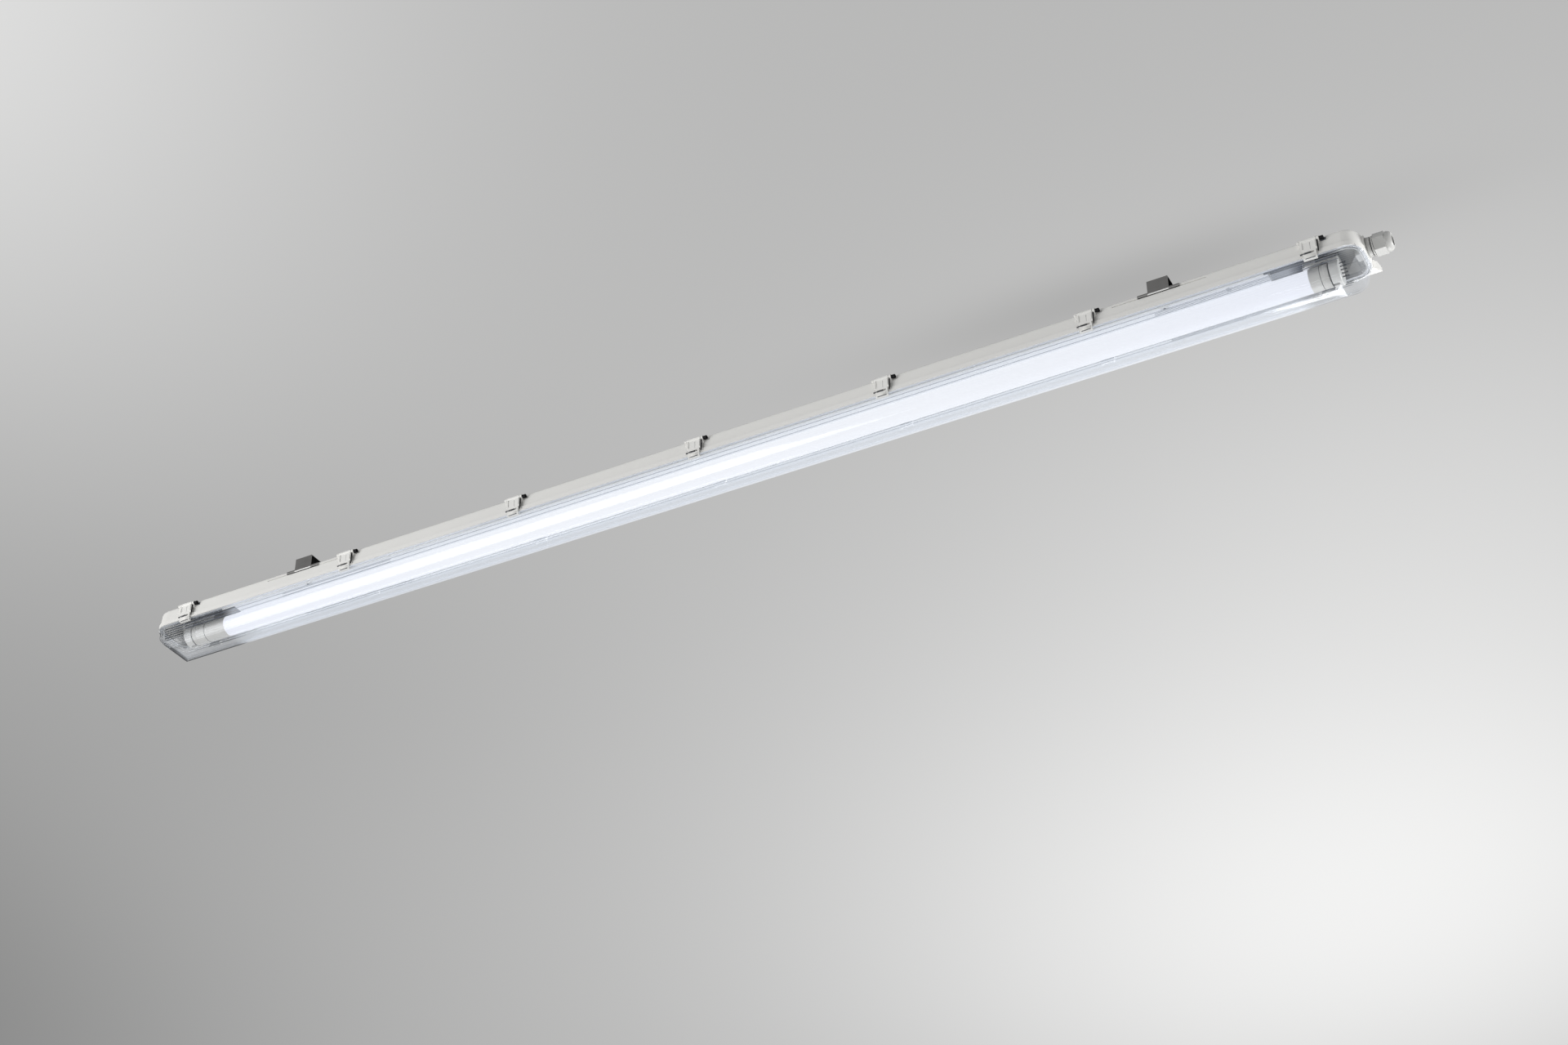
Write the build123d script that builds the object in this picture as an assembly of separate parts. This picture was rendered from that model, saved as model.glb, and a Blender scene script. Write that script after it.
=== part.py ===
"""Vapor tight light fixture for one T8 lamp, hung from the ceiling on two snap brackets.

Frame, in millimetres: origin in the ceiling plane midway between the brackets, +X along the
fixture towards the cable gland, +Z up. The near side of the fixture is -Y, the far side +Y.
Pieces are drawn about the middle of the housing, and moved at the end so that the brackets,
which sit a little towards the gland, lie evenly about the origin.
Heights are worked out from the rim plane, where the diffuser cover meets the housing.
"""

import math
import os

from build123d import *

# Lamp: the length that the fixture is built round
lamp_length = 1500.0
lamp_shift = 4.3

# Housing: overall outline, walls and heights
housing_end_room = 45.0
rim_width = 62.0
rim_corner_radius = 20.0
rim_height = 5.5
rim_step = 1.0
housing_height = 24.0
housing_wall = 2.2
housing_draft = 3.5
top_edge_radius = 4.0
ceiling_gap = 13.0
overrun = 2.0
length_joint_shares = (-0.818, -0.459, -0.153, 0.153, 0.459, 0.818)

# Gasket groove in the rim and the foam gasket in it
rim_outer_wall = 1.6
groove_width = 4.0
groove_depth = 3.5
rim_inner_wall = 1.4
gasket_height = 2.3

# Corner lug at the far corner of the gland end
lug_reach = 5.5
lug_width = 10.0
lug_height = 12.0
lug_root = 14.0
lug_slope = 6.0

# Diffuser cover
cover_inset = 0.4
cover_gap = 0.3
cover_edge = 0.4
bevel_height = 2.2
bevel_width = 1.98
tongue_width = 1.6
tub_inset = 2.2
cover_wall = 2.0
cover_depth = 35.5
cover_bottom_radius = 26.0
cover_corner_radius = 18.0
cover_end_draft = 24.0
cover_end_radius = 40.0
prism_pitch = 2.9
prism_count_each_side = 12
prism_width = 1.6
prism_depth = 0.6
prism_root = 0.5
prism_end_gap = 3.0

# Closing clips, their pins and the ears that hold the pins
clip_end_distance = 53.6
clip_place_shares = (-1.0, -0.667, -0.335, 0.0, 0.327, 0.659, 1.0)
clip_width = 18.0
clip_foot_width = 15.0
clip_thickness = 2.0
clip_rim_gap = 0.4
clip_barrel_radius = 2.6
pivot_outset = 1.2
pivot_height = 19.6
pin_radius = 1.5
pin_clearance = 0.06
ear_gap = 0.4
ear_thickness = 2.6
ear_radius = 2.4
ear_depth = 4.0
recess_length = 6.5
recess_height = 7.6
recess_depth = 2.6
recess_wall = 1.8
pin_end = 1.2
hook_reach = 2.4
hook_gap = 0.1
hook_depth = 4.6
window_width = 11.0
window_height = 2.6
window_rise = 1.6
clip_rib_width = 1.6
clip_rib_height = 0.8

# Ceiling brackets of stainless strip
bracket_end_distance = 227.5
bracket_shift = 5.5
bracket_width = 24.0
bracket_thickness = 1.0
bracket_side_gap = 0.25
bracket_foot_length = 48.0
bracket_foot_height = 3.5
bracket_foot_top = 21.3
bracket_hook = 1.3
bracket_slot_margin = 30.0
bracket_slot_clearance = 0.2
bracket_screw_radius = 2.6
bracket_bead_width = 5.0
bracket_bead_depth = 0.6

# Gear tray of folded sheet
tray_gap_left = 39.7
tray_gap_right = 35.3
tray_width = 42.0
tray_flange_height = 8.0
tray_sheet = 0.8
tray_rise = 7.0
tray_bend_radius = 1.4

# Tray latches: quarter-turn knobs under the tray, with posts in the housing
latch_past_bracket = 0.7
latch_offset = 15.0
latch_knob_radius = 4.6
latch_knob_height = 1.8
latch_shaft_radius = 2.0
latch_shaft_length = 9.0
latch_clearance = 0.06
latch_slot_width = 1.2
latch_slot_depth = 0.9
post_radius = 4.2

# Lamp: T8 tube with turning end caps
lamp_drop = 8.0
lamp_radius = 13.0
glass_radius = 12.75
glass_wall = 0.9
glass_lap = 4.0
collar_length_left = 31.0
collar_length_right = 12.3
collar_wall = 1.6
cap_length_left = 20.0
cap_length_right = 10.6
cap_wall = 1.8
cap_gap_left = 0.4
cap_gap_right = 1.6
cap_edge_radius = 0.4
cap_spigot_radius = 10.4
cap_spigot_length = 4.0
turning_clearance = 0.06
pin_spacing = 12.7
contact_pin_radius = 1.18
pin_tip_gap = 0.2
contact_pin_root = 3.0
board_rise = 5.6
board_thickness = 1.2
board_edge_gap = 0.15
board_end_lap = 3.5
chip_length = 3.0
chip_width = 2.8
chip_height = 0.7
chip_pitch = 25.0
driver_length = 24.0
driver_width = 15.0
driver_thickness = 1.6
coil_radius = 4.0
coil_length = 9.0
fuse_radius = 2.2
fuse_length = 8.0

# Lampholders
holder_thickness = 10.5
holder_head_radius = 14.4
holder_neck_width = 24.0
holder_top = 11.2
holder_foot_length = 29.0
holder_foot_width = 18.0
holder_foot_bottom = 6.2
holder_edge_radius = 0.8
holder_corner_radius = 2.5
rotor_radius = 10.5
rotor_thickness = 6.6
rotor_clearance = 0.06
rotor_slot_width = 3.0
rotor_slot_length = 17.6
entry_slot_width = 3.4
contact_thickness = 0.6
contact_gap = 0.3
contact_length = 7.0
contact_width = 4.0
holder_screw_offset = 5.0
holder_screw_pitch = 17.0
holder_screw_inset = 7.0
screw_head_radius = 2.9
screw_head_height = 2.0
screw_shank_radius = 1.4
screw_length = 12.0
screw_drive_width = 0.8

# Cable gland, M16
gland_height = 12.5
gland_thread_radius = 8.0
gland_hole_clearance = 0.15
gland_boss_margin = 5.0
gland_wall = 7.4
knock_out_depth = 0.8
knock_out_width = 1.0
washer_margin = 3.0
washer_thickness = 1.5
body_flange_reach = 2.8
body_flange_length = 3.4
body_neck_reach = 0.8
body_neck_length = 1.2
body_collar_length = 1.6
body_sleeve_length = 9.0
body_sleeve_wall = 1.6
lock_nut_wall = 2.0
lock_nut_thickness = 5.0
lock_nut_room = 0.4
spigot_tail = 1.0
dome_nut_wall = 3.0
dome_nut_length = 19.3
dome_nut_gap = 0.5
dome_length = 7.2
dome_tip_inset = 2.6
dome_wall = 1.8
dome_mouth_lip = 2.1
thread_clearance = 0.06
nut_flat_fillet = 1.0
cage_ring_wall = 1.7
seal_wall = 2.7
seal_length = 13.0
cage_ring_length = 3.0
cage_finger_count = 8
cage_finger_gap = 1.0
cage_wall = 0.9

# Terminal block, wires and small fixings on the tray
terminal_end_distance = 45.0
terminal_length = 18.0
terminal_width = 30.0
terminal_headroom = 3.0
terminal_poles = 3
terminal_pitch = 9.0
terminal_entry_clearance = 0.15
clamp_length = 5.5
clamp_width = 5.0
clamp_margin = 2.75
rivet_radius = 1.5
rivet_head_radius = 2.6
rivet_head_height = 0.9
rivet_spacing = 22.0
wire_radius = 1.1
wire_bend_radius = 12.0
wire_level = 1.3
wire_lane_pitch = 4.5
wire_drop_length = 24.0
holder_wire_rise = 2.4
wire_clip_count = 6
wire_clip_end_distance = 93.5
wire_clip_length = 6.0
wire_clip_width = 14.0
wire_clip_height = 3.2
earth_screw_distance = 45.0
earth_screw_offset = 12.0
earth_ring_radius = 3.6
earth_barrel_length = 9.0

# Levels and places that follow from the sizes above
ceiling_level = 0.0
housing_top = ceiling_level - ceiling_gap
rim_level = housing_top - housing_height
housing_length = lamp_length + 2 * housing_end_room
lamp_level = rim_level - lamp_drop
half_length = housing_length / 2
half_width = rim_width / 2
cover_top = rim_level - cover_gap
cover_bottom = rim_level - cover_depth
pivot_side = half_width + pivot_outset
pivot_level = rim_level + pivot_height
clip_inner_side = half_width + clip_rim_gap
clip_outer_side = clip_inner_side + clip_thickness
tray_level = rim_level + tray_rise
tray_top = tray_level + tray_sheet
inner_ceiling = housing_top - housing_wall
groove_outer = half_width - rim_outer_wall
groove_inner = groove_outer - groove_width
rim_inner = groove_inner - rim_inner_wall
gland_level = rim_level + gland_height
gland_inner_face = half_length - gland_wall
left_face = lamp_shift - lamp_length / 2
right_face = lamp_shift + lamp_length / 2
bracket_pitch = housing_length - 2 * bracket_end_distance
tray_left_end = -left_face - holder_foot_length - tray_gap_left
tray_right_end = right_face - holder_foot_length - tray_gap_right
latch_spacing = bracket_pitch + 2 * latch_past_bracket
terminal_place = tray_right_end - terminal_end_distance
earth_screw_place = terminal_place - earth_screw_distance
wire_clip_span = tray_left_end + tray_right_end - 2 * wire_clip_end_distance
terminal_height = inner_ceiling - tray_top - terminal_headroom
terminal_entry_rise = terminal_height / 2
clamp_height = terminal_height - 2 * clamp_margin
gland_boss_width = 2 * (gland_thread_radius + gland_boss_margin)
washer_radius = gland_thread_radius + washer_margin
body_flange_radius = gland_thread_radius + body_flange_reach
body_neck_radius = gland_thread_radius + body_neck_reach
body_bore_radius = gland_thread_radius - body_sleeve_wall
lock_nut_width = 2 * (gland_thread_radius + lock_nut_wall)
dome_nut_width = 2 * (gland_thread_radius + dome_nut_wall)
dome_tip_radius = dome_nut_width / 2 - dome_tip_inset
dome_mouth_radius = gland_thread_radius - dome_mouth_lip
seal_outer_radius = gland_thread_radius - cage_ring_wall
seal_bore_radius = seal_outer_radius - seal_wall


def block(x_range, y_range, z_range):
    """Box between the given limits."""
    size = [abs(r[1] - r[0]) for r in (x_range, y_range, z_range)]
    middle = [(r[0] + r[1]) / 2 for r in (x_range, y_range, z_range)]
    return Pos(*middle) * Box(*size)


def rod_x(radius, x_range, y, z):
    """Round bar along X."""
    length = abs(x_range[1] - x_range[0])
    return Pos((x_range[0] + x_range[1]) / 2, y, z) * Rot(0, 90, 0) * Cylinder(radius, length)


def rod_z(radius, x, y, z_range):
    """Round bar along Z."""
    length = abs(z_range[1] - z_range[0])
    return Pos(x, y, (z_range[0] + z_range[1]) / 2) * Cylinder(radius, length)


def hexagon_x(width, x_range, y, z):
    """Hexagonal bar along X with flats above and below."""
    radius = width / 2 / math.cos(math.radians(30))
    face = Plane(origin=(x_range[0], y, z), x_dir=(0, 1, 0), z_dir=(1, 0, 0))
    return extrude(face * RegularPolygon(radius, 6), x_range[1] - x_range[0])


def plan_slab(half_x, half_y, corner, z_from, height, taper=0):
    """Rounded rectangle in plan, drawn up from a level or down where the height is negative."""
    outline = Plane.XY.offset(z_from) * RectangleRounded(2 * half_x, 2 * half_y, corner)
    direction = (0, 0, math.copysign(1, height))
    return extrude(outline, abs(height), dir=direction, taper=taper)


def cross_section(points, x_range):
    """Closed outline in Y and Z, drawn along X."""
    outline = Polyline(*[(x_range[0], y, z) for y, z in points], close=True)
    return extrude(make_face(outline), x_range[1] - x_range[0], dir=(1, 0, 0))


def mirrored(solid, side):
    """The same piece on the near side (-1) or the far side (+1)."""
    return solid if side > 0 else solid.mirror(Plane.XZ)


def clip_places():
    """Centres of the clips along X, between the two end clips."""
    reach = half_length - clip_end_distance
    return [share * reach for share in clip_place_shares]


def bracket_places():
    """Centres of the two ceiling brackets along X."""
    return [bracket_shift + end * bracket_pitch / 2 for end in (-1, 1)]


def side_at(height):
    """Half width of the housing's outer wall at a height above the rim plane."""
    return half_width - rim_step - height * math.tan(math.radians(housing_draft))


def housing_shell():
    """Rim with its gasket groove, and the drafted trough above it."""
    rim = plan_slab(half_length, half_width, rim_corner_radius, rim_level, rim_height)
    rim_hole = half_width - rim_inner
    rim -= plan_slab(
        half_length - rim_hole, rim_inner, rim_corner_radius - rim_hole, rim_level - overrun,
        rim_height + 2 * overrun,
    )
    body = plan_slab(
        half_length - rim_step, half_width - rim_step, rim_corner_radius - rim_step,
        rim_level, housing_height, housing_draft,
    )
    body = fillet(body.edges().group_by(Axis.Z)[-1], top_edge_radius)
    inset = rim_step + housing_wall
    cavity = plan_slab(
        half_length - inset, half_width - inset, rim_corner_radius - inset,
        rim_level, housing_height - housing_wall, housing_draft,
    )
    cavity = fillet(cavity.edges().group_by(Axis.Z)[-1], top_edge_radius - housing_wall)
    return body - cavity + rim


def groove_ring(z_from, height, margin=0.0):
    """Ring that follows the gasket groove round the rim."""
    outer = half_width - groove_outer + margin
    inner = half_width - groove_inner - margin
    ring = plan_slab(
        half_length - outer, half_width - outer, rim_corner_radius - outer, z_from, height
    )
    return ring - plan_slab(
        half_length - inner, half_width - inner, rim_corner_radius - inner,
        z_from - overrun, height + 2 * overrun,
    )


def clip_ears(place, side):
    """Two ears that carry a clip's hinge pin, with their root in the housing wall."""
    ears = []
    for end in (-1, 1):
        inner = place + end * (clip_width / 2 + ear_gap)
        outer = inner + end * ear_thickness
        x_range = (min(inner, outer), max(inner, outer))
        root = side_at(pivot_height) - housing_wall / 2
        ear = block(x_range, (root, pivot_side), (pivot_level - ear_depth, pivot_level + ear_radius))
        ear += rod_x(ear_radius, x_range, pivot_side, pivot_level)
        foot = [
            (root, pivot_level - ear_depth), (pivot_side, pivot_level - ear_depth),
            (root, pivot_level - 2 * ear_depth),
        ]
        ear += cross_section(foot, x_range)
        ears.append(mirrored(ear, side))
    return ears


def recess_range(place):
    """Ends along X of the recess at the gland side of a clip."""
    start = place + clip_width / 2 + ear_gap + ear_thickness
    return start, start + recess_length


def pin_recess(place, side):
    """Recess in the top edge beside a clip, where its pin's end can be reached."""
    depth = side_at(pivot_height) - recess_depth
    z_range = (housing_top - recess_height, housing_top + overrun)
    return mirrored(block(recess_range(place), (depth, half_width + overrun), z_range), side)


def recess_backing(place, side):
    """Thickened wall behind a recess."""
    start, finish = recess_range(place)
    outer = side_at(housing_height) - top_edge_radius / 2
    inner = side_at(pivot_height) - recess_depth - recess_wall
    z_range = (housing_top - recess_height - recess_wall, inner_ceiling + housing_wall / 2)
    back = block((start - recess_wall, finish + recess_wall), (inner, outer), z_range)
    return mirrored(back, side)


def pin_range(place):
    """Ends of a hinge pin: flush in one ear, proud in the recess beside the other."""
    reach = clip_width / 2 + ear_gap + ear_thickness
    return place - reach, place + reach + pin_end


def bracket_slots(place, side):
    """Slot in the housing side that takes a bracket's turned-in foot."""
    hook_low = rim_level + bracket_foot_top - bracket_foot_height
    low, high = hook_low - bracket_slot_clearance, hook_low + bracket_thickness
    reach = bracket_foot_length / 2 + bracket_slot_margin
    depth = side_at(bracket_foot_top - bracket_foot_height) - bracket_hook
    cut = block((place - reach, place + reach), (depth, half_width + overrun), (low, high))
    return mirrored(cut, side)


def latch_places():
    """Places of the four tray latches."""
    return [
        (bracket_shift + end * latch_spacing / 2, side * latch_offset)
        for end in (-1, 1) for side in (-1, 1)
    ]


def holder_screw_places():
    """Places of the lampholder screws, two in each foot."""
    places = []
    for face, end in ((left_face, -1), (right_face, 1)):
        for step in (0, 1):
            x = face - end * (holder_screw_inset + step * holder_screw_pitch)
            y = holder_screw_offset if step else -holder_screw_offset
            places.append((x, y))
    return places


def corner_lug():
    """Small moulded lug that flares out of the end wall at the far corner of the gland end."""
    inner_x = half_length - lug_root
    side = half_width - rim_step
    tip = half_length + lug_reach
    corners = [
        (inner_x, side - lug_width), (half_length - rim_step, side - lug_width),
        (tip, side - rim_step), (tip, side), (inner_x, side),
    ]
    outline = Polyline(*[(x, y, rim_level + rim_step) for x, y in corners], close=True)
    lug = extrude(make_face(outline), lug_height - rim_step, dir=(0, 0, 1))
    edge = lug.edges().filter_by(Axis.Y).group_by(Axis.X)[-1].sort_by(Axis.Z)[-1]
    return chamfer(edge, lug_slope, length2=lug_slope / 2)


def in_lengths(solid):
    """The same moulding as lengths that meet face to face."""
    joints = [share * half_length for share in length_joint_shares]
    ends = (-housing_length, *joints, housing_length)
    across = (-housing_length, housing_length)
    return Compound([solid & block(pair, across, across) for pair in zip(ends, ends[1:])])


def lock_nut_pocket():
    """Pocket in the housing's roof that clears the gland's lock nut."""
    half = lock_nut_width / 2 / math.cos(math.radians(30)) + lock_nut_room
    roof = gland_level + lock_nut_width / 2 + lock_nut_room
    start = gland_inner_face - lock_nut_thickness - lock_nut_room
    return block((start, gland_inner_face), (-half, half), (inner_ceiling - overrun, roof))


def knock_out_groove():
    """Shallow ring in the blind end wall round a cable entry that can be knocked out."""
    reach = half_length - rim_step - knock_out_depth
    slope = gland_height * math.tan(math.radians(housing_draft))
    x_range = (-half_length - overrun, slope - reach)
    ring = rod_x(gland_thread_radius + knock_out_width, x_range, 0, gland_level)
    return ring - rod_x(gland_thread_radius, x_range, 0, gland_level)


def base_housing():
    """Housing with its rim, ears, posts and gland boss, as one moulding."""
    stations = [(x, side) for x in clip_places() for side in (-1, 1)]
    additions = [ear for x, side in stations for ear in clip_ears(x, side)]
    additions += [recess_backing(x, side) for x, side in stations]
    for x, y in latch_places():
        additions.append(rod_z(post_radius, x, y, (tray_top, inner_ceiling + housing_wall / 2)))
    for x, y in holder_screw_places():
        low = rim_level + holder_top
        additions.append(rod_z(post_radius, x, y, (low, inner_ceiling + housing_wall / 2)))
    boss = block(
        (gland_inner_face, half_length), (-gland_boss_width / 2, gland_boss_width / 2),
        (rim_level + rim_height / 2, housing_top - top_edge_radius / 2),
    )
    boss_edges = boss.edges().filter_by(Axis.X).group_by(Axis.Z)[-1]
    additions += [fillet(boss_edges, top_edge_radius), corner_lug()]
    shell = housing_shell().fuse(*additions)
    cuts = [pin_recess(x, side) for x, side in stations]
    cuts += [rod_x(pin_radius, pin_range(x), side * pivot_side, pivot_level) for x, side in stations]
    cuts += [bracket_slots(x, side) for x in bracket_places() for side in (-1, 1)]
    for x, y in latch_places():
        top = tray_level + latch_shaft_length + latch_clearance
        cuts.append(rod_z(latch_shaft_radius + latch_clearance, x, y, (tray_top - overrun, top)))
    for x, y in holder_screw_places():
        low = rim_level + holder_foot_bottom
        cuts.append(rod_z(screw_shank_radius, x, y, (low, low + screw_length)))
    hole_range = (gland_inner_face - overrun, half_length + overrun)
    cuts.append(rod_x(gland_thread_radius + gland_hole_clearance, hole_range, 0, gland_level))
    cuts.append(groove_ring(rim_level - overrun, groove_depth + overrun))
    return in_lengths(shell.cut(*cuts, lock_nut_pocket(), knock_out_groove()))


def base_gasket():
    """Foam gasket that lies in the roof of the groove."""
    return groove_ring(rim_level + groove_depth - gasket_height, gasket_height)


def tub_profile(inset):
    """Side distance, tangent point and lowest point of the tub's half section."""
    radius = cover_bottom_radius - inset
    centre = cover_bottom + cover_bottom_radius
    side = half_width - cover_inset - tub_inset - inset
    rise = cover_top - centre
    angle = math.acos(radius / math.hypot(side, rise)) - math.atan2(rise, side)
    tangent = (radius * math.cos(angle), centre - radius * math.sin(angle))
    return side, tangent, (0.0, centre - radius)


def tub(inset, top):
    """Solid tub, the cover's outside or, with an inset, its inside."""
    side, tangent, bottom = tub_profile(inset)
    above = top - cover_top
    reach = half_length + overrun
    side_top = side + above * (side - tangent[0]) / (cover_top - tangent[1])
    rail = [(-reach, y, z) for y, z in ((-tangent[0], tangent[1]), bottom, tangent)]
    walls = Polyline(rail[2], (-reach, side_top, top), (-reach, -side_top, top), rail[0])
    across = extrude(make_face([walls, ThreePointArc(*rail)]), 2 * reach, dir=(1, 0, 0))
    end = half_length - cover_inset - tub_inset - inset
    slope = math.tan(math.radians(cover_end_draft))
    low = cover_bottom + inset
    end_top, end_low = end + above * slope, end - (cover_top - low) * slope
    along = Polyline(
        (-end_low, -reach, low), (end_low, -reach, low), (end_top, -reach, top),
        (-end_top, -reach, top), close=True,
    )
    lengthwise = extrude(make_face(along), 2 * reach, dir=(0, 1, 0))
    low_edges = lengthwise.edges().filter_by(Axis.Y).group_by(Axis.Z)[0]
    lengthwise = fillet(low_edges, cover_end_radius - inset)
    plan = plan_slab(end, side, cover_corner_radius - inset, low - overrun, top - low + 2 * overrun)
    return across & lengthwise & plan


def tub_reach(side, level):
    """Half length of the tub's inside at a side distance and a level."""
    slope = math.radians(cover_end_draft)
    radius = cover_end_radius - cover_wall
    end = half_length - cover_inset - tub_inset - cover_wall
    round_level = cover_bottom + cover_wall + radius
    reach = end - (cover_top - level) * math.tan(slope)
    if level < round_level - radius * math.sin(slope):
        round_middle = end - (cover_top - round_level) * math.tan(slope) - radius / math.cos(slope)
        reach = round_middle + math.sqrt(radius**2 - (round_level - level) ** 2)
    corner = cover_corner_radius - cover_wall
    past_corner = abs(side) - (tub_profile(cover_wall)[0] - corner)
    if past_corner > 0:
        reach = min(reach, end - corner + math.sqrt(max(corner**2 - past_corner**2, 0)))
    return reach


def inner_wall_place(distance):
    """Point on the tub's inner face and its inward normal, at a distance along it from the middle."""
    side, tangent, bottom = tub_profile(cover_wall)
    radius = cover_bottom_radius - cover_wall
    centre = bottom[1] + radius
    arc_angle = math.atan2(tangent[0], centre - tangent[1])
    angle = min(distance / radius, arc_angle)
    normal = (-math.sin(angle), math.cos(angle))
    rest = distance - angle * radius
    y = -normal[0] * radius + rest * normal[1]
    return (y, centre - normal[1] * radius - rest * normal[0]), normal


def prisms():
    """Fine lengthwise prisms on the inner face of the tub, up both of its sides."""
    ridges = []
    for step in range(-prism_count_each_side, prism_count_each_side + 1):
        (y, z), (normal_y, normal_z) = inner_wall_place(abs(step) * prism_pitch)
        turn = math.copysign(1, step)
        points = []
        for across, inward in ((-1, 0), (-1, 1), (0, 2), (1, 1), (1, 0)):
            along = across * prism_width / 2
            depth = (-prism_root, 0.0, prism_depth)[inward]
            points.append((
                turn * (y + along * normal_z + depth * normal_y),
                z - along * normal_y + depth * normal_z,
            ))
        reach = tub_reach(y, max(z, cover_bottom + cover_wall)) - prism_end_gap
        ridges.append(cross_section(points, (-reach, reach)))
    return ridges


def diffuser_cover():
    """Clear tub with a bevelled rim, a tongue that presses the gasket, and inner prisms."""
    half_x, half_y = half_length - cover_inset, half_width - cover_inset
    corner = rim_corner_radius - cover_inset
    rim = plan_slab(half_x, half_y, corner, cover_top, -cover_edge)
    bevel_angle = math.degrees(math.atan2(bevel_width, bevel_height))
    rim += plan_slab(half_x, half_y, corner, cover_top - cover_edge, -bevel_height, bevel_angle)
    tongue_inset = (groove_width - tongue_width) / 2
    tongue_top = rim_level + groove_depth - gasket_height
    tongue = groove_ring(cover_top - cover_edge, tongue_top - cover_top + cover_edge, tongue_inset)
    body = tub(0, cover_top) + rim
    body -= tub(cover_wall, cover_top + overrun)
    return body.fuse(tongue, *prisms())


def clip_profile():
    """Outline of a clip's plate and hook in side distance and height."""
    slope = bevel_height / bevel_width
    drop = hook_gap * math.hypot(slope, 1)
    edge_side = half_width - cover_inset
    edge_level = cover_top - cover_edge

    def face_level(side):
        return edge_level + (side - edge_side) * slope - drop

    tip_side = clip_inner_side - hook_reach
    low = rim_level - hook_depth
    return [
        (clip_inner_side, pivot_level), (clip_inner_side, face_level(clip_inner_side)),
        (tip_side, face_level(tip_side)), (tip_side, low), (clip_outer_side, low),
        (clip_outer_side, pivot_level),
    ]


def closing_clip(place, side):
    """One clip: barrel round the pin, plate down the rim, hook under the cover's bevel."""
    x_range = (place - clip_width / 2, place + clip_width / 2)
    clip = cross_section(clip_profile(), x_range)
    clip += rod_x(clip_barrel_radius, x_range, pivot_side, pivot_level)
    foot_cut = (clip_width - clip_foot_width) / 2
    foot_top = rim_level + rim_height
    y_range = (clip_inner_side - hook_reach - overrun, clip_outer_side + overrun)
    for end in (-1, 1):
        outer = place + end * (clip_width / 2 + overrun)
        inner = place + end * (clip_width / 2 - foot_cut)
        foot_range = (min(inner, outer), max(inner, outer))
        clip -= block(foot_range, y_range, (rim_level - hook_depth - overrun, foot_top))
    rib_low = rim_level + rim_height + window_height
    for end in (-1, 1):
        rib_x = place + end * (clip_width / 2 - clip_rib_width)
        clip += block(
            (rib_x - clip_rib_width / 2, rib_x + clip_rib_width / 2),
            (clip_outer_side - clip_thickness / 2, clip_outer_side + clip_rib_height),
            (rib_low, pivot_level),
        )
    window_low = rim_level + window_rise
    clip -= block(
        (place - window_width / 2, place + window_width / 2),
        (clip_inner_side - clip_rim_gap / 2, clip_outer_side + overrun),
        (window_low, window_low + window_height),
    )
    clip -= rod_x(pin_radius + pin_clearance, x_range, pivot_side, pivot_level)
    return mirrored(clip, side)


def clip_pins():
    """Hinge pins of all the clips."""
    pins = [
        rod_x(pin_radius, pin_range(x), side * pivot_side, pivot_level)
        for x in clip_places() for side in (-1, 1)
    ]
    return Compound(pins)


def ceiling_bracket(place):
    """Bent strip: plate under the ceiling, two legs, and wide feet that hook into the housing."""
    inner = side_at(bracket_foot_top - bracket_foot_height) + bracket_side_gap
    outer = inner + bracket_thickness
    foot_top = rim_level + bracket_foot_top
    foot_low = foot_top - bracket_foot_height
    plate_range = (place - bracket_width / 2, place + bracket_width / 2)
    strip = block(
        plate_range, (-outer, outer), (ceiling_level - bracket_thickness, ceiling_level)
    )
    for side in (-1, 1):
        leg = block(plate_range, (inner, outer), (foot_low, ceiling_level))
        reach = bracket_foot_length / 2
        foot_range = (place - reach, place + reach)
        leg += block(foot_range, (inner, outer), (foot_low, foot_top))
        leg += block(
            foot_range, (inner - bracket_hook, outer), (foot_low, foot_low + bracket_thickness)
        )
        strip += mirrored(leg, side)
    bends = strip.edges().filter_by(Axis.X).group_by(Axis.Z)[-1]
    strip = fillet(bends, bracket_thickness / 2)
    bead_reach = bracket_width / 2 - bracket_bead_width
    for end in (-1, 1):
        bead = rod_z(
            bracket_bead_width / 2, place, end * bead_reach,
            (ceiling_level - bracket_thickness - bracket_bead_depth, ceiling_level - bracket_thickness),
        )
        strip += bead
    low = ceiling_level - 2 * bracket_thickness
    return strip - rod_z(bracket_screw_radius, place, 0, (low, ceiling_level))


def gear_tray():
    """Folded sheet channel above the lamp, with holes for its latches, rivets and earth screw."""
    half = tray_width / 2
    x_range = (-tray_left_end, tray_right_end)
    channel = block(x_range, (-half, half), (tray_level, tray_level + tray_flange_height))
    low_edges = channel.edges().filter_by(Axis.X).group_by(Axis.Z)[0]
    channel = fillet(low_edges, tray_bend_radius)
    inner = half - tray_sheet
    hollow = block(
        (x_range[0] - overrun, x_range[1] + overrun), (-inner, inner),
        (tray_top, tray_level + tray_flange_height + overrun),
    )
    inner_edges = hollow.edges().filter_by(Axis.X).group_by(Axis.Z)[0]
    channel -= fillet(inner_edges, tray_bend_radius - tray_sheet)
    z_range = (tray_level - overrun, tray_top + overrun)
    holes = [
        rod_z(latch_shaft_radius + latch_clearance, x, y, z_range) for x, y in latch_places()
    ]
    holes += [
        rod_z(rivet_radius, terminal_place, end * rivet_spacing / 2, z_range) for end in (-1, 1)
    ]
    holes.append(rod_z(screw_shank_radius, earth_screw_place, earth_screw_offset, z_range))
    channel = channel.cut(*holes)
    bend = half - tray_bend_radius
    bounds = (-tray_width, -bend, bend, tray_width)
    strips = zip(bounds, bounds[1:])
    lengthwise = (-housing_length, housing_length)
    return Compound([channel & block(lengthwise, strip, lengthwise) for strip in strips])


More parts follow.
